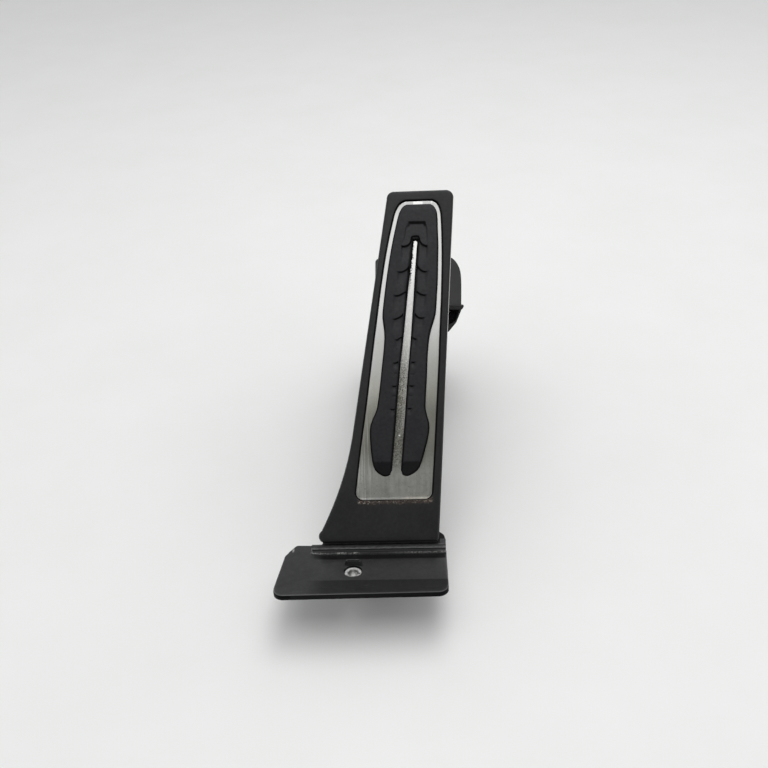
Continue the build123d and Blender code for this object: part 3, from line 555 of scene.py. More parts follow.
# specks over the whole plate and a painted highlight along the front edge
tone = s.blend(s.span(s.noise(vec, 0.75, 3.0, 0.8), 0.66, 0.80, 0.0, 0.45), tone, (0.045, 0.046, 0.044))
# painted highlight along the front edge, broken up by grit
tone = s.blend(s.sum("MULTIPLY", s.stored("painted_highlight"), s.span(sand, 0.3, 0.6, 0.6, 1.0)), tone, (0.085, 0.085, 0.083))
# painted shade in the countersink, the pocket and along the outer edges and walls
painted_shade = s.stored("painted_shade")
s.put("Base Color", s.blend(painted_shade, tone, (0.0016, 0.0016, 0.0018)))
blotch = s.sum("ADD", s.span(s.noise(vec, 0.30, 4.0, 0.8), 0.3, 0.7, 0.82, 1.18), s.span(s.noise(vec, 0.055, 2.0, 0.5), 0.3, 0.7, -0.08, 0.10))
dull = s.sum("MULTIPLY", s.sum("MULTIPLY", s.span(painted_shade, 0.0, 1.0, 1.0, 0.08), s.span(band, 0.0, 1.0, 1.0, 0.45)), blotch)
polish = s.sum("MULTIPLY", s.span(fx, -42.0, -28.0), s.sum("MULTIPLY", s.span(fu, -29.5, -9.0, 0.12, 1.0), s.span(fu, -8.6, -7.8, 1.0, 0.0)))
polish = s.sum("MULTIPLY", polish, s.span(fu, -30.5, -29.5))
s.put("Specular IOR Level", s.sum("MULTIPLY", s.sum("MULTIPLY", s.span(strip, 0.0, 1.0, 0.42, 0.21), s.span(polish, 0.0, 1.0, 1.0, 1.95)), dull))
s.put("Roughness", s.sum("ADD", s.span(smear, 0.3, 0.75, 0.33, 0.43), s.sum("MULTIPLY", s.sum("MAXIMUM", marks, strip), 0.15)))
s.put("Normal", s.bump(s.sum("SUBTRACT", s.sum("MULTIPLY", fine, 0.35), marks), 0.25, 0.05))
mats["foot_plastic"] = s.mat

# rubber: bluish black, satin, with a fine skin
s = Surface("tread_rubber", (0.0100, 0.0102, 0.0118), 0.52, 0.0, 0.28)
vec = s.coords(PAD_ANGLE)
rx, rv, rw = s.axes(vec)
cloud = s.noise(vec, 0.07, 3.0, 0.6)
fine = s.noise(vec, 2.0, 3.0, 0.6)
dust = s.noise(vec, 0.8, 4.0, 0.75)
tone = s.blend(s.span(cloud, 0.3, 0.7), (0.0080, 0.0077, 0.0104), (0.0108, 0.0111, 0.0120))
tone = s.blend(s.span(dust, 0.66, 0.85, 0.0, 0.4), tone, (0.032, 0.032, 0.030))
mottle = s.noise(vec, 0.5, 3.0, 0.7)
# painted shade in the steps and along the edges darkens the colour and the gloss
painted_shade = s.stored("painted_shade")
s.put("Base Color", s.blend(painted_shade, tone, (0.0022, 0.0022, 0.0024)))
s.put("Specular IOR Level", s.sum("MULTIPLY", s.span(painted_shade, 0.0, 1.0, 1.0, 0.18), s.sum("MULTIPLY", s.span(mottle, 0.3, 0.7, 0.22, 0.33), s.span(rv, 60.0, 190.0, 0.86, 1.0))))
s.put("Roughness", s.sum("ADD", s.span(cloud, 0.25, 0.75, 0.45, 0.57), s.span(fine, 0.2, 0.8, -0.04, 0.04)))
s.put("Normal", s.bump(fine, 0.35, 0.05))
mats["tread_rubber"] = s.mat

# brushed inlay: lengthwise brushing, speckled and olive towards the driver, dirty lower edge, painted shade in the
# channel round the tread
s = Surface("inlay_steel", (0.46, 0.455, 0.445), 0.30, 1.0)
vec = s.coords(PAD_ANGLE)
ix, iv, iw = s.axes(vec)
along = s.stretch(vec, (1.0, 0.02, 1.0))
streak = s.noise(along, 1.1, 3.0, 0.6)
broad = s.noise(s.stretch(vec, (1.0, 0.05, 1.0)), 0.22, 2.0, 0.5)
grain = s.noise(vec, 1.5, 3.0, 0.75)
patch = s.noise(vec, 0.08, 3.0, 0.65, (1.0, 0.5, 1.0))
wear_and_painted_highlight = s.span(s.sum("ADD", iv, s.span(patch, 0.2, 0.8, -22.0, 22.0)), 75.0, 150.0, 1.0, 0.0, True)
tone = s.blend(s.span(streak, 0.3, 0.7), (0.435, 0.435, 0.425), (0.49, 0.485, 0.475))
dirty = s.blend(s.span(broad, 0.3, 0.7), (0.34, 0.342, 0.285), (0.50, 0.50, 0.425))
dirty = s.blend(s.span(grain, 0.42, 0.72, 0.0, 0.6), dirty, (0.24, 0.24, 0.195))
dirty = s.blend(s.span(s.noise(vec, 0.9, 3.0, 0.8), 0.60, 0.74, 0.0, 0.6), dirty, (0.66, 0.66, 0.60))
tone = s.blend(s.sum("MULTIPLY", wear_and_painted_highlight, 0.85), tone, dirty)
mid = s.sum("ABSOLUTE", s.sum("SUBTRACT", ix, s.sum("ADD", s.sum("MULTIPLY", iv, 0.0981), 7.58)))
slit = s.sum("MULTIPLY", s.span(mid, 3.0, 3.6, 1.0, 0.0), s.span(iv, 50.0, 54.0))
sand = s.noise(vec, 1.0, 4.0, 0.85)
# speckled dirt and painted shade darken the lower part of the slit
slit_dirt_and_shade = s.sum("MULTIPLY", slit, s.span(iv, 110.0, 142.0, 1.0, 0.06, True))
tone = s.blend(s.sum("MULTIPLY", slit_dirt_and_shade, s.span(sand, 0.46, 0.55, 0.08, 0.95)), tone, (0.080, 0.076, 0.057))
tone = s.blend(s.sum("MULTIPLY", s.sum("MULTIPLY", slit, s.span(iv, 110.0, 175.0, 1.0, 0.3)), s.span(s.noise(vec, 1.1, 2.0, 0.8), 0.58, 0.62, 0.0, 0.9)), tone, (0.74, 0.73, 0.66))
# more speckled dirt and painted shade in the middle of the slit
slit_specks_and_shade = s.sum("MULTIPLY", slit, s.sum("MULTIPLY", s.span(iv, 80.0, 92.0), s.span(iv, 114.0, 126.0, 1.0, 0.0)))
tone = s.blend(s.sum("MULTIPLY", slit_specks_and_shade, s.span(sand, 0.40, 0.55, 0.08, 0.42)), tone, (0.050, 0.048, 0.036))
ragged = s.sum("ADD", iv, s.span(s.noise(vec, 0.7, 4.0, 0.75), 0.3, 0.7, -0.8, 0.8))
edge = s.span(ragged, 33.2, 34.3, 1.0, 0.0, True)
rust = s.noise(vec, 0.5, 4.0, 0.7, (0.5, 1.0, 1.0))
tone = s.blend(edge, tone, s.blend(s.span(rust, 0.45, 0.65), (0.018, 0.013, 0.010), (0.30, 0.23, 0.155)))
haze = s.sum("MULTIPLY", s.span(ragged, 33.5, 37.5, 1.0, 0.0, True), s.span(ix, 12.0, 26.0))
tone = s.blend(s.sum("MULTIPLY", haze, 0.6), tone, (0.62, 0.56, 0.42))
# painted darker reflection across the lower middle of the sheet
dim = s.sum("MULTIPLY", s.span(iv, 44.0, 66.0, 0.0, 1.0, True), s.span(iv, 84.0, 112.0, 1.0, 0.0, True))
tone = s.blend(s.sum("MULTIPLY", dim, 0.46), tone, (0.10, 0.10, 0.085))
across = s.sum("SUBTRACT", s.sum("ADD", s.sum("MULTIPLY", iv, 0.0981), 7.58), ix)
# painted light on the right-hand side of the slit
light = s.sum("MULTIPLY", s.span(across, -2.4, 0.2, 0.5, 0.0), s.sum("MULTIPLY", s.span(iv, 70.0, 84.0), s.span(iv, 140.0, 160.0, 1.0, 0.0)))
light = s.sum("MULTIPLY", s.sum("MULTIPLY", light, slit), s.span(sand, 0.42, 0.58, 1.0, 0.45))
tone = s.blend(light, tone, (0.72, 0.715, 0.68))
# painted shade on the steel beside the tread's right-hand edge
flank = s.sum("MULTIPLY", s.span(across, -16.0, -13.0, 1.0, 0.0), s.sum("MULTIPLY", s.span(iv, 78.0, 90.0), s.span(iv, 105.0, 150.0, 1.0, 0.0, True)))
tone = s.blend(s.sum("MULTIPLY", flank, 0.30), tone, (0.09, 0.09, 0.075))
foot = s.span(iv, 44.0, 66.0, 1.0, 0.0, True)
tone = s.blend(s.sum("MULTIPLY", foot, 0.55), tone, s.blend(s.span(s.noise(s.stretch(vec, (1.0, 0.06, 1.0)), 0.55, 3.0, 0.7), 0.36, 0.64), (0.43, 0.435, 0.42), (0.56, 0.565, 0.54)))
blotch = s.noise(vec, 0.22, 4.0, 0.75)
tone = s.blend(s.sum("MULTIPLY", foot, s.span(blotch, 0.46, 0.66, 0.0, 0.4)), tone, (0.26, 0.265, 0.24))
rays = s.sum("MULTIPLY", s.span(s.noise(s.stretch(vec, (1.0, 0.03, 1.0)), 0.9, 2.0, 0.6), 0.5, 0.62), s.sum("MULTIPLY", s.span(across, 14.0, 17.0), s.span(iv, 70.0, 90.0, 1.0, 0.0)))
tone = s.blend(s.sum("MULTIPLY", rays, 0.55), tone, (0.78, 0.78, 0.74))
spots = s.sum("MULTIPLY", s.span(s.noise(vec, 0.8, 3.0, 0.75), 0.60, 0.72), s.span(iv, 34.0, 120.0, 0.8, 0.25))
tone = s.blend(spots, tone, (0.16, 0.155, 0.125))
pepper = s.sum("MULTIPLY", s.span(s.noise(vec, 1.7, 2.0, 0.7), 0.66, 0.72), s.span(iv, 150.0, 200.0, 0.2, 0.9))
tone = s.blend(pepper, tone, (0.07, 0.07, 0.07))
chips = s.sum("ADD", s.noise(vec, 0.9, 3.0, 0.7), s.span(across, -0.4, 1.3, -0.14, 0.16))
chips = s.sum("MULTIPLY", s.span(chips, 0.52, 0.56), s.sum("MULTIPLY", s.sum("MULTIPLY", s.span(iv, 172.0, 186.0), s.span(iv, 211.0, 213.0, 1.0, 0.0)), s.span(across, -1.6, -0.6)))
tone = s.blend(s.sum("MULTIPLY", chips, slit), tone, (0.010, 0.010, 0.010))
tone = s.blend(s.sum("MULTIPLY", s.span(s.sum("ABSOLUTE", s.sum("SUBTRACT", iv, 74.5)), 0.3, 0.7, 1.0, 0.0), s.span(s.sum("ABSOLUTE", s.sum("SUBTRACT", ix, 14.9)), 0.3, 0.7, 1.0, 0.0)), tone, (0.95, 0.95, 0.92))
tone = s.blend(s.span(iv, 228.0, 238.0, 0.0, 0.55), tone, (0.28, 0.28, 0.275))
# painted darker reflection over the middle of the sheet
tone = s.blend(s.sum("MULTIPLY", s.span(iv, 100.0, 122.0, 0.0, 0.22, True), s.span(iv, 138.0, 165.0, 1.0, 0.0, True)), tone, (0.18, 0.18, 0.17))
# painted light in the upper slit, except at the chips
tone = s.blend(s.sum("MULTIPLY", s.sum("MULTIPLY", slit, s.sum("SUBTRACT", 1.0, chips, True)), s.span(iv, 165.0, 195.0, 0.0, 0.75)), tone, (0.64, 0.64, 0.63))
# painted shade: the sunk channel round the tread is coloured black and made non-metal
sunk = s.span(iw, 4.85, 5.0, 1.0, 0.0)
tone = s.blend(sunk, tone, (0.004, 0.004, 0.004))
s.put("Base Color", tone)
dull = s.sum("MAXIMUM", edge, sunk)
s.put("Metallic", s.sum("SUBTRACT", 1.0, dull, True))
s.put("Specular IOR Level", s.span(dull, 0.0, 1.0, 0.5, 0.1))
s.put("Roughness", s.sum("ADD", s.span(streak, 0.25, 0.75, 0.25, 0.33), s.sum("ADD", s.sum("MULTIPLY", s.sum("MAXIMUM", s.sum("MULTIPLY", wear_and_painted_highlight, 0.5), slit_dirt_and_shade), 0.12), s.sum("MULTIPLY", dull, 0.4))))
s.put("Anisotropic", 0.6)
brushed = s.node("ShaderNodeTangent", direction_type="UV_MAP", uv_map="brushing")
s.put("Tangent", brushed.outputs[0])
s.put("Normal", s.bump(s.sum("ADD", s.sum("MULTIPLY", streak, 0.6), s.sum("MULTIPLY", s.sum("MULTIPLY", slit_dirt_and_shade, sand), 1.6)), 0.25, 0.03))
mats["inlay_steel"] = s.mat

mats["housing_plastic"] = plastic("housing_plastic", (0.0080, 0.0080, 0.0085), (0.0120, 0.0120, 0.0120), 0.48, 1.3, 0.09).mat
s = plastic("cover_plastic", (0.0075, 0.0076, 0.0080), (0.0112, 0.0112, 0.0112), 0.46, 1.3, 0.09)
# painted light inside the plug socket, in a purplish grey
vec = s.coords(24.0)
kx, kp, kq = s.axes(vec)
plain = s.bsdf.inputs["Base Color"].links[0].from_socket
well = s.sum("MULTIPLY", s.span(kx, 46.0, 46.2), s.sum("MULTIPLY", s.span(kp, 199.4, 201.0), s.span(kp, 214.2, 214.4, 1.0, 0.0)))
well = s.sum("MULTIPLY", well, s.sum("MULTIPLY", s.span(kq, -44.0, -43.8), s.span(kq, -20.7, -20.5, 1.0, 0.0)))
well = s.sum("MULTIPLY", well, s.span(s.sum("ADD", kx, s.sum("MULTIPLY", kq, -0.16)), 65.6, 66.0, 1.0, 0.0))
s.put("Base Color", s.blend(well, plain, s.blend(s.span(s.noise(vec, 0.4, 2.0, 0.5), 0.3, 0.7), (0.075, 0.070, 0.080), (0.10, 0.094, 0.106))))
s.put("Specular IOR Level", s.span(kx, 38.0, 41.0, 0.34, 0.21))
mats["cover_plastic"] = s.mat
s = plastic("carrier_plastic", (0.0080, 0.0080, 0.0085), (0.0115, 0.0115, 0.0115), 0.36, 1.8, 0.05, PAD_ANGLE)
# painted highlight on the roll beside the hinge, broken up by grit, and painted light in the gutter above it
vec = s.coords(PAD_ANGLE)
cx, cv, cw = s.axes(vec)
grit = s.noise(vec, 1.0, 3.0, 0.8, (0.3, 1.0, 1.0))
plain = s.bsdf.inputs["Base Color"].links[0].from_socket
up = s.span(cw, -2.0, -1.4)
roll = s.sum("MULTIPLY", up, s.sum("MULTIPLY", s.span(cv, 1.3, 1.8), s.span(cv, 2.3, 3.1, 1.0, 0.14)))
roll = s.sum("MULTIPLY", roll, s.span(cv, 4.35, 4.65, 1.0, 0.0))
gutter = s.sum("MULTIPLY", up, s.sum("MULTIPLY", s.span(cv, 4.4, 4.7), s.span(cv, 7.1, 7.3, 1.0, 0.0)))
tone = s.blend(roll, plain, s.blend(s.span(grit, 0.35, 0.65), (0.105, 0.105, 0.106), (0.27, 0.27, 0.265)))
s.put("Base Color", s.blend(s.sum("MULTIPLY", gutter, 0.8), tone, s.blend(s.span(grit, 0.35, 0.65), (0.055, 0.055, 0.058), (0.11, 0.11, 0.112))))
mats["carrier_plastic"] = s.mat
mats["lever_plastic"] = plastic("lever_plastic", (0.0100, 0.0100, 0.0105), (0.0150, 0.0150, 0.0150), 0.42, 1.6, 0.05).mat
mats["film_plastic"] = plastic("film_plastic", (0.0090, 0.0090, 0.0090), (0.0160, 0.0160, 0.0160), 0.40, 1.2, 0.06, None, 0).mat
mats["chip_plastic"] = plastic("chip_plastic", (0.0080, 0.0080, 0.0080), (0.0130, 0.0130, 0.0130), 0.40, 3.0, 0.02).mat
mats["cup_plastic"] = plastic("cup_plastic", (0.60, 0.59, 0.55), (0.68, 0.67, 0.63), 0.38, 1.0, 0.03).mat
mats["buffer_rubber"] = plastic("buffer_rubber", (0.0130, 0.0130, 0.0130), (0.0220, 0.0220, 0.0220), 0.68, 1.0, 0.08).mat
mats["seal_rubber"] = plastic("seal_rubber", (0.20, 0.055, 0.032), (0.25, 0.075, 0.045), 0.60, 1.0, 0.05).mat
mats["board_laminate"] = plastic("board_laminate", (0.010, 0.075, 0.028), (0.016, 0.105, 0.042), 0.32, 0.7, 0.05).mat
s = metal("zinc_steel", (0.50, 0.50, 0.48), (0.36, 0.355, 0.33), 0.36, (1.0, 1.0, 0.4), 0.9)
# the bolt sleeve in the foot plate is brighter; its uneven bore has painted shadow on its upper wall and flanks and
# painted light deeper in and along a band just below its top, and its rim has two nicks
vec = s.coords(FOOT_ANGLE)
zx, zu, zn = s.axes(vec)
dx, du = s.sum("ADD", zx, 15.56), s.sum("ADD", zu, 20.77)
rho = s.sum("SQRT", s.sum("ADD", s.sum("MULTIPLY", dx, dx), s.sum("MULTIPLY", du, du)))
plain = s.bsdf.inputs["Base Color"].links[0].from_socket
swirl = s.noise(vec, 0.5, 2.0, 0.6, (1.0, 1.0, 0.7), 1.2)
tone = s.blend(s.span(rho, 8.0, 8.5, 1.0, 0.0), plain, s.blend(s.span(swirl, 0.4, 0.62), (0.93, 0.93, 0.91), (0.74, 0.74, 0.72)))
upper = s.sum("MULTIPLY", s.span(zn, -3.8, -2.0), s.span(swirl, 0.35, 0.6, 1.0, 0.5))
tone = s.blend(s.span(rho, 3.5, 3.62, 1.0, 0.0), tone, s.blend(upper, (0.92, 0.92, 0.90), (0.16, 0.16, 0.16)))
# painted shade on the near side of the sleeve's rim face
tone = s.blend(s.sum("MULTIPLY", s.span(rho, 3.5, 3.62), s.sum("MULTIPLY", s.span(du, -4.0, -1.6, 0.8, 0.0), s.span(rho, 8.0, 8.5, 1.0, 0.0))), tone, (0.10, 0.10, 0.10))
flanks = s.sum("MULTIPLY", s.span(s.sum("ABSOLUTE", s.sum("SUBTRACT", dx, 0.4)), 1.5, 2.8, 0.0, 0.7), s.span(rho, 3.5, 3.62, 1.0, 0.0))
tone = s.blend(flanks, tone, (0.13, 0.13, 0.13))
lip = s.sum("MULTIPLY", s.span(rho, 3.5, 3.62, 1.0, 0.0), s.sum("MULTIPLY", s.span(zn, -2.35, -1.85), s.span(du, -0.6, 0.6)))
tone = s.blend(s.sum("MULTIPLY", lip, s.span(swirl, 0.38, 0.58, 1.0, 0.55)), tone, (0.93, 0.93, 0.91))
for ax, au in ((4.0, 3.4), (-3.9, 0.9)):
    ex, eu = s.sum("ADD", dx, ax), s.sum("ADD", du, au)
    near = s.sum("SQRT", s.sum("ADD", s.sum("MULTIPLY", ex, ex), s.sum("MULTIPLY", eu, eu)))
    tone = s.blend(s.span(near, 0.4, 1.1, 0.9, 0.0), tone, (0.05, 0.05, 0.05))
s.put("Base Color", tone)
mats["zinc_steel"] = s.mat
mats["pin_steel"] = metal("pin_steel", (0.62, 0.62, 0.62), (0.50, 0.50, 0.50), 0.24, (0.05, 1.0, 1.0), 1.4).mat
mats["spring_steel"] = metal("spring_steel", (0.42, 0.42, 0.43), (0.28, 0.27, 0.26), 0.30, (1.0, 1.0, 1.0), 1.2).mat
mats["bush_bronze"] = metal("bush_bronze", (0.56, 0.40, 0.22), (0.42, 0.28, 0.14), 0.38, (1.0, 1.0, 1.0), 1.5).mat
mats["terminal_metal"] = metal("terminal_metal", (0.75, 0.73, 0.68), (0.62, 0.60, 0.54), 0.25, (1.0, 0.2, 0.2), 1.5).mat
mats["magnet_ferrite"] = metal("magnet_ferrite", (0.09, 0.09, 0.09), (0.06, 0.06, 0.06), 0.45, (1.0, 1.0, 1.0), 1.5).mat

slot_of = {p["node"]: p["material_slot"] for p in frame["record"]["subparts"]}
for name, obj in nodes.items():
    obj.data.materials.clear()
    obj.data.materials.append(mats[slot_of[name]])


def finish_piece(obj, body, slot, *stands_for):
    obj.data.materials.append(mats[slot])
    if body:
        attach(obj, body)
    if stands_for:
        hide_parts(*stands_for)
    return obj


# ---------------------------------------------------------------- pad frame
LEFT = [(-14.75, 85.4), (-16.85, 72.0), (-19.6, 58.8), (-23.3, 45.8), (-27.9, 32.8), (-33.4, 20.0), (-36.7, 13.2)]
frame_loop = (line((-34.6, 5.5), (37.3, 5.5)) + arc((37.3, 5.5), (38.7, 6.3), (39.25, 8.0)) + line((39.25, 8.0), (56.02, 242.2))
              + arc((56.02, 242.2), (54.8, 246.6), (50.9, 248.5)) + line((50.9, 248.5), (14.4, 248.4))
              + arc((14.4, 248.4), (10.6, 246.9), (9.1, 243.0)) + line((9.1, 243.0), LEFT[0]) + spline(LEFT)
              + arc(LEFT[-1], (-38.3, 8.3), (-34.6, 5.5)))
# rows of V, left and right half-width about the pad's lengthwise axis
WINDOW = [(37.6, 25.55, 24.4), (64.0, 24.95, 24.0), (97.0, 23.6, 23.3), (122.0, 22.9, 22.75), (140.0, 22.35, 22.1), (154.0, 21.8, 21.65),
          (168.0, 21.3, 21.3), (182.0, 20.65, 20.65), (197.0, 19.75, 19.85), (211.0, 18.5, 18.75), (219.5, 17.5, 17.95), (226.5, 16.55, 17.15),
          (231.0, 15.85, 16.5), (234.8, 14.7, 15.35), (238.5, 12.6, 13.2), (240.7, 9.2, 9.8)]


def axis_x(v):
    return 7.58 + 0.0981 * v


def both(table):
    return [(axis_x(v) + r, v) for v, l, r in table], [(axis_x(v) - l, v) for v, l, r in table]


def window_loop(d):
    right, left = both([(v + (d if v < 60 else 0) - (d if v > 236 else 0), l - d, r - d) for v, l, r in WINDOW])
    a, b, low = right[0], left[0], 32.3 + d
    return (spline(right) + line(right[-1], left[-1]) + spline(left[::-1])
            + arc(b, (b[0] + 1.5, low + 1.5), (b[0] + 5.0, low)) + line((b[0] + 5.0, low), (a[0] - 5.0, low))
            + arc((a[0] - 5.0, low), (a[0] - 1.5, low + 1.5), a))


FRAME_TOP, SHEET_TOP, TREAD_TOP = 6.0, 5.2, 8.6
edge_loop = window_loop(-0.35)


def frame_height(x, v, d):
    p = np.column_stack([x, v])
    to_window = far_from(p, edge_loop)
    inside = within(p, edge_loop) & (to_window > 0.02)
    top = FRAME_TOP - rolled(d, 1.8) - rolled(to_window, 0.7) * 0.8
    return np.where(inside, 4.4, top)


# painted shade in the gap round the inlay's window, weaker along its lower edge
def frame_painted_shade(x, v, d):
    return np.where(v > 36.0, 0.9, 0.3) * (1 - smooth(0.12, 0.75, far_from(np.column_stack([x, v]), edge_loop)))


seat = offset(edge_loop, 0.06)
piece = relief("pad_frame_shell", frame_loop, frame_height, 0.0, on_pad, rings=(0.15, 0.4, 0.75, 1.2, 1.8), grid=2.0,
               inner=[edge_loop, seat, offset(edge_loop, -0.1), offset(edge_loop, -0.22), offset(edge_loop, -0.42), offset(edge_loop, -0.7)], shade=frame_painted_shade)
finish_piece(piece, "pedal", "pad_plastic", "pad_frame")

# -------------------------------------------------------------------- tread
OUTER = [(237.0, 8.0, 9.0), (235.7, 10.3, 11.4), (232.8, 12.1, 13.4), (228.5, 13.15, 14.4), (218.0, 14.6, 15.5), (207.0, 15.8, 16.6),
         (196.0, 16.7, 17.2), (182.0, 17.5, 17.95), (167.5, 18.0, 18.2), (160.0, 18.1, 18.3), (156.3, 17.9, 18.0), (153.2, 17.4, 17.4),
         (150.0, 16.7, 16.65), (146.5, 16.0, 15.9), (142.5, 15.45, 15.3), (137.5, 15.2, 14.95), (131.0, 15.2, 14.85), (124.0, 15.35, 15.0),
         (112.0, 15.55, 15.45), (98.0, 15.95, 15.7), (92.0, 16.5, 16.1), (88.3, 17.6, 17.1), (85.0, 18.8, 18.3), (81.5, 19.6, 19.3),
         (77.5, 19.7, 19.6), (72.5, 19.1, 19.15), (64.0, 17.7, 17.6), (56.5, 16.0, 16.0), (52.2, 14.1, 14.3), (49.4, 11.0, 11.1),
         (48.0, 7.4, 7.4), (48.9, 4.4, 4.4), (51.5, 2.95, 2.85)]
SLIT = [(51.5, 2.95, 2.85), (64.0, 3.0, 2.8), (76.0, 3.0, 2.75), (87.0, 3.0, 2.75), (97.0, 3.1, 2.55), (112.0, 3.05, 2.45), (125.5, 2.9, 2.45),
        (139.5, 2.5, 2.5), (153.5, 2.25, 2.35), (167.7, 2.05, 2.2), (182.0, 1.75, 1.9), (196.5, 1.2, 1.7), (204.0, 0.95, 1.6), (209.5, 0.85, 1.7)]
outer_r, outer_l = both([(v, l - 0.3, r - 0.42) if l > 6 else (v, l, r) for v, l, r in OUTER])
slit_r, slit_l = both(SLIT)
tread_loop = (spline(outer_r, 0.45) + spline(slit_r, 0.5) + arc(slit_r[-1], (axis_x(210.9) + 0.25, 210.9), slit_l[-1], 0.25)
              + spline(slit_l[::-1], 0.5) + spline(outer_l[::-1], 0.45) + line(outer_l[0], outer_r[0], 0.45))[::-1]
hull = (spline(outer_r, 0.6) + line(outer_r[-1], outer_l[-1], 0.6) + spline(outer_l[::-1], 0.6) + line(outer_l[0], outer_r[0], 0.6))[::-1]
slit_at = np.array(SLIT)

# lower edges of the scales: points across the axis and along it, left and right, then depth, width of the step and run
SCALES = [
    ([(-10.7, 188.0), (-9.0, 187.7), (-7.0, 187.85), (-5.5, 188.6), (-4.2, 189.6), (-3.3, 191.0), (-2.7, 192.8)],
     [(3.3, 192.8), (3.9, 191.3), (4.7, 190.1), (5.65, 189.05), (6.7, 188.2), (7.75, 187.7), (9.3, 187.5), (10.9, 187.8)], 1.05, 0.9, 15.0),
    ([(-11.8, 171.4), (-10.5, 170.8), (-9.3, 170.75), (-7.9, 171.0), (-6.4, 171.7), (-5.0, 172.6), (-3.6, 173.8)],
     [(4.2, 173.8), (5.2, 172.8), (6.45, 171.8), (7.7, 171.1), (9.0, 170.75), (10.2, 170.65), (11.4, 170.8)], 1.05, 0.9, 14.0),
    ([(-10.9, 154.1), (-9.8, 154.05), (-8.7, 154.3), (-7.4, 154.8), (-6.2, 155.5), (-5.0, 156.6), (-4.1, 158.0)],
     [(4.2, 158.0), (5.2, 156.5), (6.2, 155.4), (7.2, 154.75), (8.2, 154.45), (9.7, 154.5), (11.1, 154.9)], 1.0, 0.85, 12.0),
    ([(-7.95, 139.7), (-7.2, 139.5), (-6.4, 139.65), (-5.5, 140.4), (-4.7, 141.05), (-3.6, 141.6)],
     [(3.9, 141.2), (4.6, 140.6), (5.6, 139.95), (6.7, 139.55)], 0.9, 0.8, 9.0),
    ([(-7.8, 123.5), (-6.9, 123.4), (-6.0, 123.7), (-4.8, 124.3)], [(4.4, 123.9), (5.4, 123.65), (6.8, 123.75)], 0.8, 0.75, 5.0),
    ([(-7.35, 107.7), (-6.2, 107.55), (-5.05, 107.7)], [(4.8, 107.65), (5.9, 107.5), (7.1, 107.6)], 0.8, 0.75, 5.0),
    ([(-7.2, 92.05), (-6.1, 91.9), (-4.95, 92.05)], [(4.55, 92.4), (5.7, 92.25), (6.9, 92.35)], 0.75, 0.75, 5.0),
    ([(-6.9, 133.2), (-5.6, 133.3)], [(4.9, 133.0), (6.2, 133.0)], 0.22, 0.5, 3.0), ([(-6.6, 116.4), (-5.3, 116.5)], [(5.0, 115.6), (6.3, 115.6)], 0.22, 0.5, 3.0),
    ([(-6.3, 101.0), (-5.0, 101.1)], [(5.0, 101.0), (6.4, 101.0)], 0.22, 0.5, 3.0)]
scale_lines = []
for left, right, depth, width, run in SCALES:
    for k, pts in ((-1, left), (1, right)):
        scale_lines.append((k, np.array(spline(pts, 0.25) + [pts[-1]]), depth, width, run))
# lower edge of the panel above the slit, and the panel's other sides
ARCH = [(18.5, 206.7), (21.4, 206.4), (23.9, 207.8), (25.0, 210.1), (25.45, 212.5), (26.5, 213.6), (30.9, 213.6), (31.8, 212.1), (32.2, 209.9),
        (33.6, 207.5), (35.2, 206.5), (37.0, 206.1)]
PANEL = [(24.2, 224.2), (35.6, 224.1), (36.1, 223.6), (37.1, 219.0), (37.2, 213.0), (37.0, 206.1), (36.0, 199.0), (18.0, 199.0), (18.5, 206.7),
         (20.9, 213.5), (21.6, 218.9), (23.6, 223.6)]
arch_line = spline(ARCH, 0.3) + [ARCH[-1]]
below_arch = arch_line + [(37.0, 190.0), (18.5, 190.0)]


def reach_of(x, v):
    """Distance outwards from the slit's edge."""
    a = x - axis_x(v)
    return np.abs(a) - np.where(a < 0, np.interp(v, slit_at[:, 0], slit_at[:, 1]), np.interp(v, slit_at[:, 0], slit_at[:, 2]))


def signed(p, loop):
    e = far_from(p, loop)
    return np.where(within(p, loop), e, -e)


def scale_steps(x, v):
    """For each scale's edge: its depth, width and run, how far below it a point lies, and whether it is beside it."""
    across = x - axis_x(v)
    for k, pts, depth, width, run in scale_lines:
        edge = np.interp(across, pts[:, 0], pts[:, 1])
        lean = np.gradient(pts[:, 1], pts[:, 0])
        below = (edge - v) / np.sqrt(1 + np.interp(across, pts[:, 0], lean) ** 2)
        lo, hi = pts[0, 0], pts[-1, 0]
        fade = 0.3 * (hi - lo)
        if k < 0:
            side = smooth(lo - 0.5, lo + fade, across) * (1 - smooth(hi, hi + 0.3, across))
        else:
            side = smooth(lo - 0.3, lo, across) * (1 - smooth(hi - fade, hi + 0.5, across))
        yield depth, width, run, below, side


def border_width(v):
    return np.interp(v, (50.0, 90.0, 140.0, 170.0, 205.0, 214.0), (0.4, 0.7, 1.4, 2.0, 2.1, 2.1))


def tread_height(x, v, d):
    r, across = reach_of(x, v), x - axis_x(v)
    p = np.column_stack([x, v])
    drop = np.zeros_like(x)
    for depth, width, run, below, side in scale_steps(x, v):
        drop = np.maximum(drop, depth * side * smooth(0.0, width, below) * (1 - smooth(width + 0.2, run, below)))
    # panel above the slit: it dips behind its top edge and rises to the arch
    inside = signed(p, PANEL)
    fall = np.clip((v - 207.0) / 17.0, 0, 1)
    step = np.where(v > 221.0, 2.1, 0.8)
    drop = np.maximum(drop, 1.1 * fall * smooth(0.0, 1.0, inside / step))
    arch = signed(p, below_arch)
    near = 1 - smooth(8.6, 9.6, np.abs(across - 0.3))
    drop = np.maximum(drop, 1.15 * near * smooth(0.0, 0.9, arch) * (1 - smooth(3.0, 17.0, 208.5 - v)))
    # border along the slit
    wide = border_width(v)
    drop = drop + 0.5 * wide * (1 - np.clip(r / wide, 0, 1)) * (v < 211.5) * (r < wide)
    lean = 0.37 * np.maximum(0, 56.7 - v)
    crown = 0.35 * smooth(0.0, 1.0, np.clip(1 - d / 5.0, 0, 1))
    return np.maximum(TREAD_TOP - drop - lean - crown - rolled(d, 0.85), SHEET_TOP + 0.25)


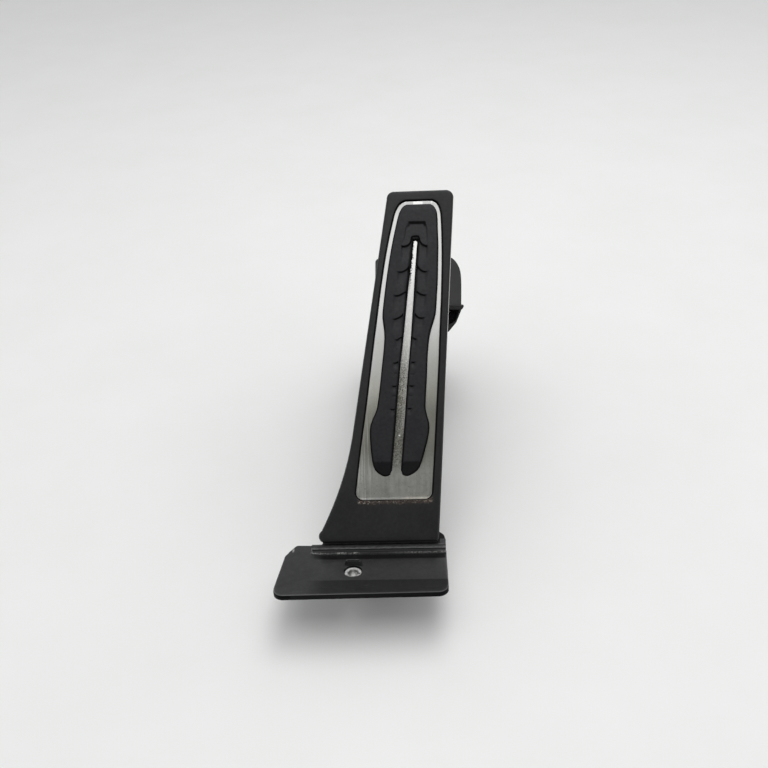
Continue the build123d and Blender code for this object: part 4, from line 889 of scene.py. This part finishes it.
def tread_painted_shade(x, v, d):
    """Painted shade in the steps, beside the slit, along the edges and on the lower ends of the legs."""
    r, across = reach_of(x, v), x - axis_x(v)
    p = np.column_stack([x, v])
    dark = 0.95 * (1 - smooth(0.3, 0.95, d))
    for depth, width, run, below, side in scale_steps(x, v):
        dark = np.maximum(dark, min(1.0, 1.3 * depth) * side * smooth(-0.05, 0.2, below) * (1 - smooth(0.75 * width, width + 0.35, below)))
    inside = signed(p, PANEL)
    fall = np.clip((v - 207.0) / 17.0, 0, 1)
    dark = np.maximum(dark, np.where(v > 221.0, 0.9 * (1 - smooth(5.0, 8.0, np.abs(across - 1.0))), 0.35 * fall) * smooth(0.0, 0.3, inside) * (1 - smooth(np.where(v > 221.0, 1.6, 0.6), np.where(v > 221.0, 2.3, 1.0), inside)))
    arch = signed(p, below_arch)
    near = 1 - smooth(8.6, 9.6, np.abs(across - 0.3))
    dark = np.maximum(dark, 0.97 * near * smooth(-0.05, 0.2, arch) * (1 - smooth(0.85, 1.5, arch)) * (v > 205.0))
    wide = border_width(v)
    dark = np.maximum(dark, 0.95 * (1 - smooth(0.75, 1.45, r)) * (v < 211.5))
    dark = np.maximum(dark, 0.5 * smooth(57.0, 56.4, v))
    dark = np.maximum(dark, 0.75 * (1 - smooth(0.5, 1.05, r / wide)) * smooth(90.0, 150.0, v) * (v < 212.0))
    return dark


extra = []
for k, pts, depth, width, run in scale_lines:
    lean = np.gradient(pts[:, 1], pts[:, 0])
    n = np.stack([-lean, np.ones(len(lean))], 1) / np.sqrt(1 + lean ** 2)[:, None]
    for h in (0.6, 0.25, 0.04, -0.15 * width, -0.35 * width, -0.55 * width, -0.75 * width, -width, -width - 0.3, -width - 0.8):
        q = pts + n * h
        extra += [(axis_x(v) + a, v) for a, v in q]
for h in (0.5, 0.2, 0.0, -0.15, -0.3, -0.5, -0.7, -0.9, -1.2):
    extra += [tuple(q) for q in offset(arch_line, h)[2:-2]]
for x in np.arange(23.4, 36.6, 0.45):
    for v in (224.8, 224.4, 224.0, 223.6, 223.2, 222.8, 222.4, 222.0, 221.6):
        extra.append((x, v))
for v in np.arange(206.5, 222.0, 0.6):
    for x0 in (np.interp(v, (206.7, 213.5, 218.9, 223.6), (18.5, 20.9, 21.6, 23.6)), np.interp(v, (206.1, 213.0, 219.0, 223.6), (37.0, 37.2, 37.1, 36.1))):
        extra += [(x0 + h, v) for h in (-0.9, -0.6, -0.3, 0.0, 0.3, 0.6, 0.9)]
for v in np.arange(54.0, 208.5, 0.9):
    wide = float(np.interp(v, (50.0, 90.0, 140.0, 170.0, 205.0), (0.4, 0.7, 1.4, 2.0, 2.1)))
    l, r = (float(np.interp(v, slit_at[:, 0], slit_at[:, c])) for c in (1, 2))
    for h in (wide - 0.12, wide, wide + 0.15):
        extra += [(axis_x(v) - l - h, v), (axis_x(v) + r + h, v)]
for x in np.arange(-20, 20, 0.6):
    for v in (57.3, 56.7, 56.1):
        extra.append((axis_x(v) + x, v))
piece = relief("tread_pad", tread_loop, tread_height, SHEET_TOP - 0.02, on_pad, rings=(0.1, 0.25, 0.45, 0.85), grid=0.9, extra=extra,
               shade=tread_painted_shade, under=1.0, crease=38.0)
finish_piece(piece, "pedal", "tread_rubber", "rubber_tread")

# -------------------------------------------------------------------- inlay
# The sheet is sunk in a narrow channel round the outside of the tread.
sheet_loop = window_loop(0.12)
GAP = 0.45
channel = offset(hull, -GAP)


def sheet_height(x, v, d):
    p = np.column_stack([x, v])
    mouth = (np.abs(x - axis_x(v)) < 3.4) & (v < 54.0)
    sunk = within(p, channel) & (far_from(p, channel) > 0.02) & ~mouth & ((~within(p, hull)) | (far_from(p, hull) < 0.3))
    return np.where(sunk, 4.45, SHEET_TOP - rolled(d, 0.5) * 0.9)


piece = relief("brushed_inlay", sheet_loop, sheet_height, 4.4, on_pad, rings=(0.06, 0.15, 0.3, 0.5), grid=2.5,
               inner=[channel, offset(channel, 0.06), offset(hull, 0.32)])
skin = piece.data.uv_layers.new(name="brushing")
for loop in piece.data.loops:
    p = piece.data.vertices[loop.vertex_index].co
    skin.data[loop.index].uv = (p.x * 4.0 + 0.5, (p.y * math.cos(math.radians(PAD_ANGLE)) + p.z * math.sin(math.radians(PAD_ANGLE))) * 4.0)
finish_piece(piece, "pedal", "inlay_steel", "steel_inlay")

# --------------------------------------------------------------- foot plate
BOLT = (-15.56, -20.77)
foot_loop = rounded([(-63.6, -36.0), (-63.0, -44.1), (43.7, -42.4), (43.7, -1.4), (-44.2, -1.4), (-44.2, 7.2), (-54.4, 7.5), (-60.75, -3.4)],
                    [9.0, 6.5, 6.5, 0.25, 0.25, 0.6, 2.2, 6.0])
hole_loop = circle(*BOLT, 5.25, 72, clockwise=True)
POCKET = [(-21.4, -14.6), (-20.9, -9.8), (-19.5, -8.6), (-12.1, -8.7), (-11.0, -10.0), (-9.4, -15.6), (-15.5, -17.0)]


def foot_height(x, u, d):
    p = np.column_stack([x, u])
    rho = np.hypot(x - BOLT[0], u - BOLT[1])
    edge = np.where((u > -3.2) & (x > -44.5), 5.0, d)
    n = -rolled(edge, np.where(u > 0, 0.45, 0.9))
    cone = np.clip((5.95 - rho) / 0.7, 0, 1)
    n = n - 1.1 * cone
    # pocket behind the bolt hole, open towards its rim
    n = n - 0.9 * smooth(0.0, 0.9, signed(p, POCKET)) * (1 - cone) * smooth(5.95, 6.5, rho)
    # the plate thins towards the hinge
    n = n - 0.17 * np.maximum(0, u + 8.2) * smooth(-45.0, -34.0, x) * (u < -2.0) * smooth(-2.0, -2.6, u)
    # bead along the hinge groove
    bead = np.sqrt(np.maximum(0.55 ** 2 - (u + 1.95) ** 2, 0)) * (x > -43.6)
    return np.maximum(n, -2.6) + bead


# painted shade in the countersink round the bolt hole, in the pocket behind it and along the outer edges, a little less
# along the front
def foot_painted_shade(x, u, d):
    rho = np.hypot(x - BOLT[0], u - BOLT[1])
    dark = 1 - smooth(5.7, 6.05, rho)
    dark = np.maximum(dark, 0.66 * smooth(-0.3, 0.4, signed(np.column_stack([x, u]), POCKET)) * smooth(6.0, 6.4, rho))
    outside = (u < -3.4) | (x < -44.5)
    rim = np.where((u < -30.0) & (x > -52.0), 0.8, 1.0)
    return np.maximum(dark, np.where(outside, rim * (1 - smooth(0.06, 0.28, d)), 0.0))


def foot_painted_highlight(x, u, d):
    """A painted highlight along the front edge."""
    ring = smooth(0.12, 0.35, d) * (1 - smooth(0.55, 1.0, d))
    return ring * (1 - smooth(-38.0, -33.0, u)) * np.where(x < -50.0, 1.0, np.where(x > 36.0, 0.85, 0.8))


extra = []
for x in np.arange(-43.4, 43.4, 1.0):
    for u in (-8.9, -8.2, -7.5, -5.0, -3.4, -2.95, -2.6, -2.49, -2.4, -2.2, -1.95, -1.7, -1.55):
        extra.append((x, u))
pocket_line = rounded(POCKET, [1.0, 0.8, 0.8, 0.8, 0.8, 1.0, 0.5], 0.25)
for h in (-0.25, 0.0, 0.2, 0.4, 0.6, 0.8, 1.1):
    extra += [tuple(q) for q in offset(pocket_line[::-1], h)]
boss = turned(on_foot, *BOLT, [(5.27, -9.4), (8.2, -9.4), (8.5, -9.1), (8.5, -3.35), (5.27, -3.35)], 72)
posts = [turned(on_foot, x, -6.5, [(1.5, -9.4), (3.35, -9.4), (3.6, -9.15), (3.6, -3.35), (1.5, -3.35)], 36) for x in (-22.0, 20.0)]
piece = relief("foot_plate_shell", foot_loop, foot_height, -3.4, on_foot, rings=(0.1, 0.25, 0.5, 0.9), grid=1.6, extra=extra,
               holes=[hole_loop], inner=[circle(*BOLT, 5.95, 80, clockwise=True)], more=[boss] + posts, shade=foot_painted_shade, under=0.8, painted_highlight=foot_painted_highlight)
finish_piece(piece, "base", "foot_plastic", "foot_plate")

# --------------------------------------------------------------- hinge film
half, leanb = math.radians((PAD_ANGLE - FOOT_ANGLE) / 2), math.radians((PAD_ANGLE + FOOT_ANGLE) / 2)


def film_ring(x):
    """Section of the film at x: a shallow bow from the foot plate to the carrier."""
    ring = []
    for t0, way in ((1.0, 1), (1.8, -1)):
        k = t0 / math.cos(half)
        bend = np.array((k * math.sin(leanb), HINGE_Z - k * math.cos(leanb)))
        c, s = math.cos(math.radians(FOOT_ANGLE)), math.sin(math.radians(FOOT_ANGLE))
        a = np.array((-1.4 * c + t0 * s, HINGE_Z - 1.4 * s - t0 * c))
        c, s = math.cos(math.radians(PAD_ANGLE)), math.sin(math.radians(PAD_ANGLE))
        b = np.array((1.4 * c + t0 * s, HINGE_Z + 1.4 * s - t0 * c))
        row = []
        for i in range(13):
            t = i / 12
            row.append((1 - t) ** 2 * a + 2 * t * (1 - t) * bend + t * t * b)
        ring += row if way > 0 else row[::-1]
    return [tuple(p) for p in flat([(x, y, z) for y, z in ring])]


piece = loft("film_strip", [film_ring(x) for x in np.linspace(-43.5, 43.5, 30)])
ends = flat([(0, *[-1.4 * math.cos(math.radians(13)), HINGE_Z]), (0, 1.4 * math.cos(math.radians(40)), HINGE_Z)])
piece.data.materials.append(mats["film_plastic"])
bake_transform(piece)
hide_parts("hinge_film")


# ------------------------------------------------------------------- screws
def screw(place, r, under_head, top, shank, tip, n=48):
    """Closed screw with a six-lobed recess; place takes points (a, b, height) with the height out of the head."""
    th = 2 * np.pi * np.arange(n) / n
    lobe = 0.52 * r * (1 + 0.12 * np.cos(6 * th))
    rows = [(shank, tip), (shank, under_head), (r - 0.15, under_head), (r, under_head + 0.15), (r, top - 0.4), (r - 0.12, top - 0.14), (r - 0.4, top),
            (lobe * 1.06, top), (lobe, top - 0.1), (lobe * 0.94, top - 0.85)]
    points = [(0.0, 0.0, tip)]
    for radius, h in rows:
        radius = np.broadcast_to(radius, n)
        points += [(radius[i] * math.cos(th[i]), radius[i] * math.sin(th[i]), h) for i in range(n)]
    points.append((0.0, 0.0, top - 0.95))
    faces, last = [], len(points) - 1
    for i in range(n):
        j = (i + 1) % n
        faces.append((0, 1 + j, 1 + i))
        for k in range(len(rows) - 1):
            faces.append((1 + k * n + i, 1 + k * n + j, 1 + (k + 1) * n + j, 1 + (k + 1) * n + i))
        faces.append((1 + (len(rows) - 1) * n + i, 1 + (len(rows) - 1) * n + j, last))
    return place(points), faces


def screws(name, body, node, items):
    verts, faces = [], []
    for points, quads in items:
        faces += [tuple(len(verts) + i for i in q) for q in quads]
        verts += list(points)
    finish_piece(make(name, verts, faces, 32.0), body, "zinc_steel", node)


screws("cover_screw_set", "base", "cover_screws",
       [screw(lambda q, y=y, z=z: flat([(h, y + a, z + b) for a, b, h in q]), 2.9, 42.6, 43.9, 1.45, 34.5)
        for y, z in ((101.7, 5.7), (230.3, 5.7), (235.4, 98.6), (101.7, 36.0), (172.0, 77.2), (166.0, 5.7))])
screws("pad_screw_set", "pedal", "pad_screws",
       [screw(lambda q, x=x, v=v: on_pad([(x + a, v - b, -h) for a, b, h in q]), 3.3, 5.0, 7.0, 1.45, -3.2)
        for x, v in ((-8.0, 46.0), (30.0, 30.0), (46.5, 236.0), (20.0, 240.0), (-5.0, 120.0), (39.0, 120.0))])
screws("foot_screw_set", "base", "foot_screws",
       [screw(lambda q, x=x: on_foot([(x + a, -6.5 - b, -h) for a, b, h in q]), 3.4, 10.4, 12.4, 1.5, 1.6) for x in (-22.0, 20.0)])


# ------------------------------------------------------------------ springs
def coil(name, node, mean_r, wire_r, turns, z0, z1, steps=56, sides=10):
    cx, cy = 18.0, 152.0
    sections, total = [], turns + 1.5
    n = int(total * steps)
    for i in range(n + 1):
        a = i / n * total
        rise = min(max(a - 0.75, 0.0), turns) / turns
        z = z0 + wire_r + rise * (z1 - z0 - 2 * wire_r - 2.1 * wire_r) + wire_r * 2.1 * (min(a, 0.75) / 0.75 * 0.5 + max(a - turns - 0.75, 0) / 0.75 * 0.5)
        th = 2 * math.pi * a
        out = np.array((math.cos(th), math.sin(th), 0.0))
        ring = []
        for k in range(sides):
            b = 2 * math.pi * k / sides
            ring.append(np.array((cx, cy, z)) + out * (mean_r + wire_r * math.cos(b)) + np.array((0, 0, wire_r * math.sin(b))))
        sections.append([tuple(p) for p in flat(ring)])
    piece = loft(name, sections)
    finish_piece(piece, "base", "spring_steel", node)
    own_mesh(piece)


coil("outer_spring", "return_spring_outer", 10.0, 1.05, 4.5, 5.05, 47.9)
coil("inner_spring", "return_spring_inner", 6.6, 0.8, 6.5, 5.05, 47.9)

# -------------------------------------------------------- floor, light, camera
bpy.ops.mesh.primitive_plane_add(size=12.0, location=(0.0, 0.0, 0.0))
floor = bpy.context.object
floor.name = "studio_floor"
s = Surface("studio_floor", (0.80, 0.80, 0.785), 0.62, 0.0, 0.3)
vec = s.coords()
s.put("Base Color", s.blend(s.span(s.noise(vec, 0.01, 4.0, 0.6), 0.3, 0.7), (0.795, 0.797, 0.780), (0.815, 0.815, 0.803)))
s.put("Roughness", s.span(s.noise(vec, 0.05, 3.0, 0.5), 0.3, 0.7, 0.55, 0.68))
floor.data.materials.append(s.mat)


def soft_light(name, place, aim, width, depth, power):
    data = bpy.data.lights.new(name, "AREA")
    data.shape, data.size, data.size_y, data.energy = "RECTANGLE", width, depth, power
    obj = bpy.data.objects.new(name, data)
    obj.location = place
    obj.rotation_mode = "QUATERNION"
    obj.rotation_quaternion = (Vector(aim) - Vector(place)).to_track_quat("-Z", "Y")
    scene.collection.objects.link(obj)
    return obj


soft_light("overhead", (0.0, -0.31, 1.3), (0.0, -0.31, 0.0), 1.4, 0.82, 4.7)
soft_light("key", (0.20, 0.50, 1.5), (0.0, 0.05, 0.0), 0.8, 0.8, 7.6)
# the room: dim behind the camera, brighter at the back and low down at the sides
world = bpy.data.worlds.new("studio")
scene.world = world
world.use_nodes = True
wt = world.node_tree
back = wt.nodes["Background"]
back.inputs["Color"].default_value = (0.98, 0.99, 1.0, 1.0)
way = wt.nodes.new("ShaderNodeTexCoord")
split = wt.nodes.new("ShaderNodeSeparateXYZ")
wt.links.new(way.outputs["Generated"], split.inputs[0])


def sky(value, *levels):
    n = wt.nodes.new("ShaderNodeMapRange")
    n.interpolation_type = "SMOOTHSTEP"
    for k, x in zip(("From Min", "From Max", "To Min", "To Max"), levels):
        n.inputs[k].default_value = x
    wt.links.new(value, n.inputs["Value"])
    return n.outputs[0]


def sky_sum(kind, a, b):
    n = wt.nodes.new("ShaderNodeMath")
    n.operation = kind
    wt.links.new(a, n.inputs[0])
    wt.links.new(b, n.inputs[1])
    return n.outputs[0]


low = sky_sum("ADD", sky(split.outputs[1], 0.0, 0.6, 0.45, 0.64), sky_sum("ADD", sky(split.outputs[0], 0.15, 0.7, 0.0, 1.2), sky(split.outputs[0], -0.7, -0.15, 0.95, 0.0)))
high = sky(split.outputs[1], -0.60, 0.15, 0.20, 0.62)
strength = sky_sum("ADD", sky_sum("MULTIPLY", low, sky(split.outputs[2], 0.28, 0.58, 1.0, 0.0)), sky_sum("MULTIPLY", high, sky(split.outputs[2], 0.28, 0.58, 0.0, 1.0)))
wt.links.new(strength, back.inputs["Strength"])

cam = bpy.data.cameras.new("photo_camera")
cam.lens, cam.sensor_width, cam.sensor_fit = 39.844, 36.0, "HORIZONTAL"
cam.clip_start, cam.clip_end = 0.01, 50.0
camera = bpy.data.objects.new("photo_camera", cam)
right = Vector((0.99896962, 0.01594365, -0.0424912))
up = Vector((0.02396486, 0.60977181, 0.79221463))
ahead = Vector((-0.03854073, 0.79241664, -0.60876143))
camera.matrix_world = Matrix(((right.x, up.x, -ahead.x, 0.008457), (right.y, up.y, -ahead.y, -0.536711), (right.z, up.z, -ahead.z, 0.448127), (0, 0, 0, 1)))
scene.collection.objects.link(camera)
scene.camera = camera
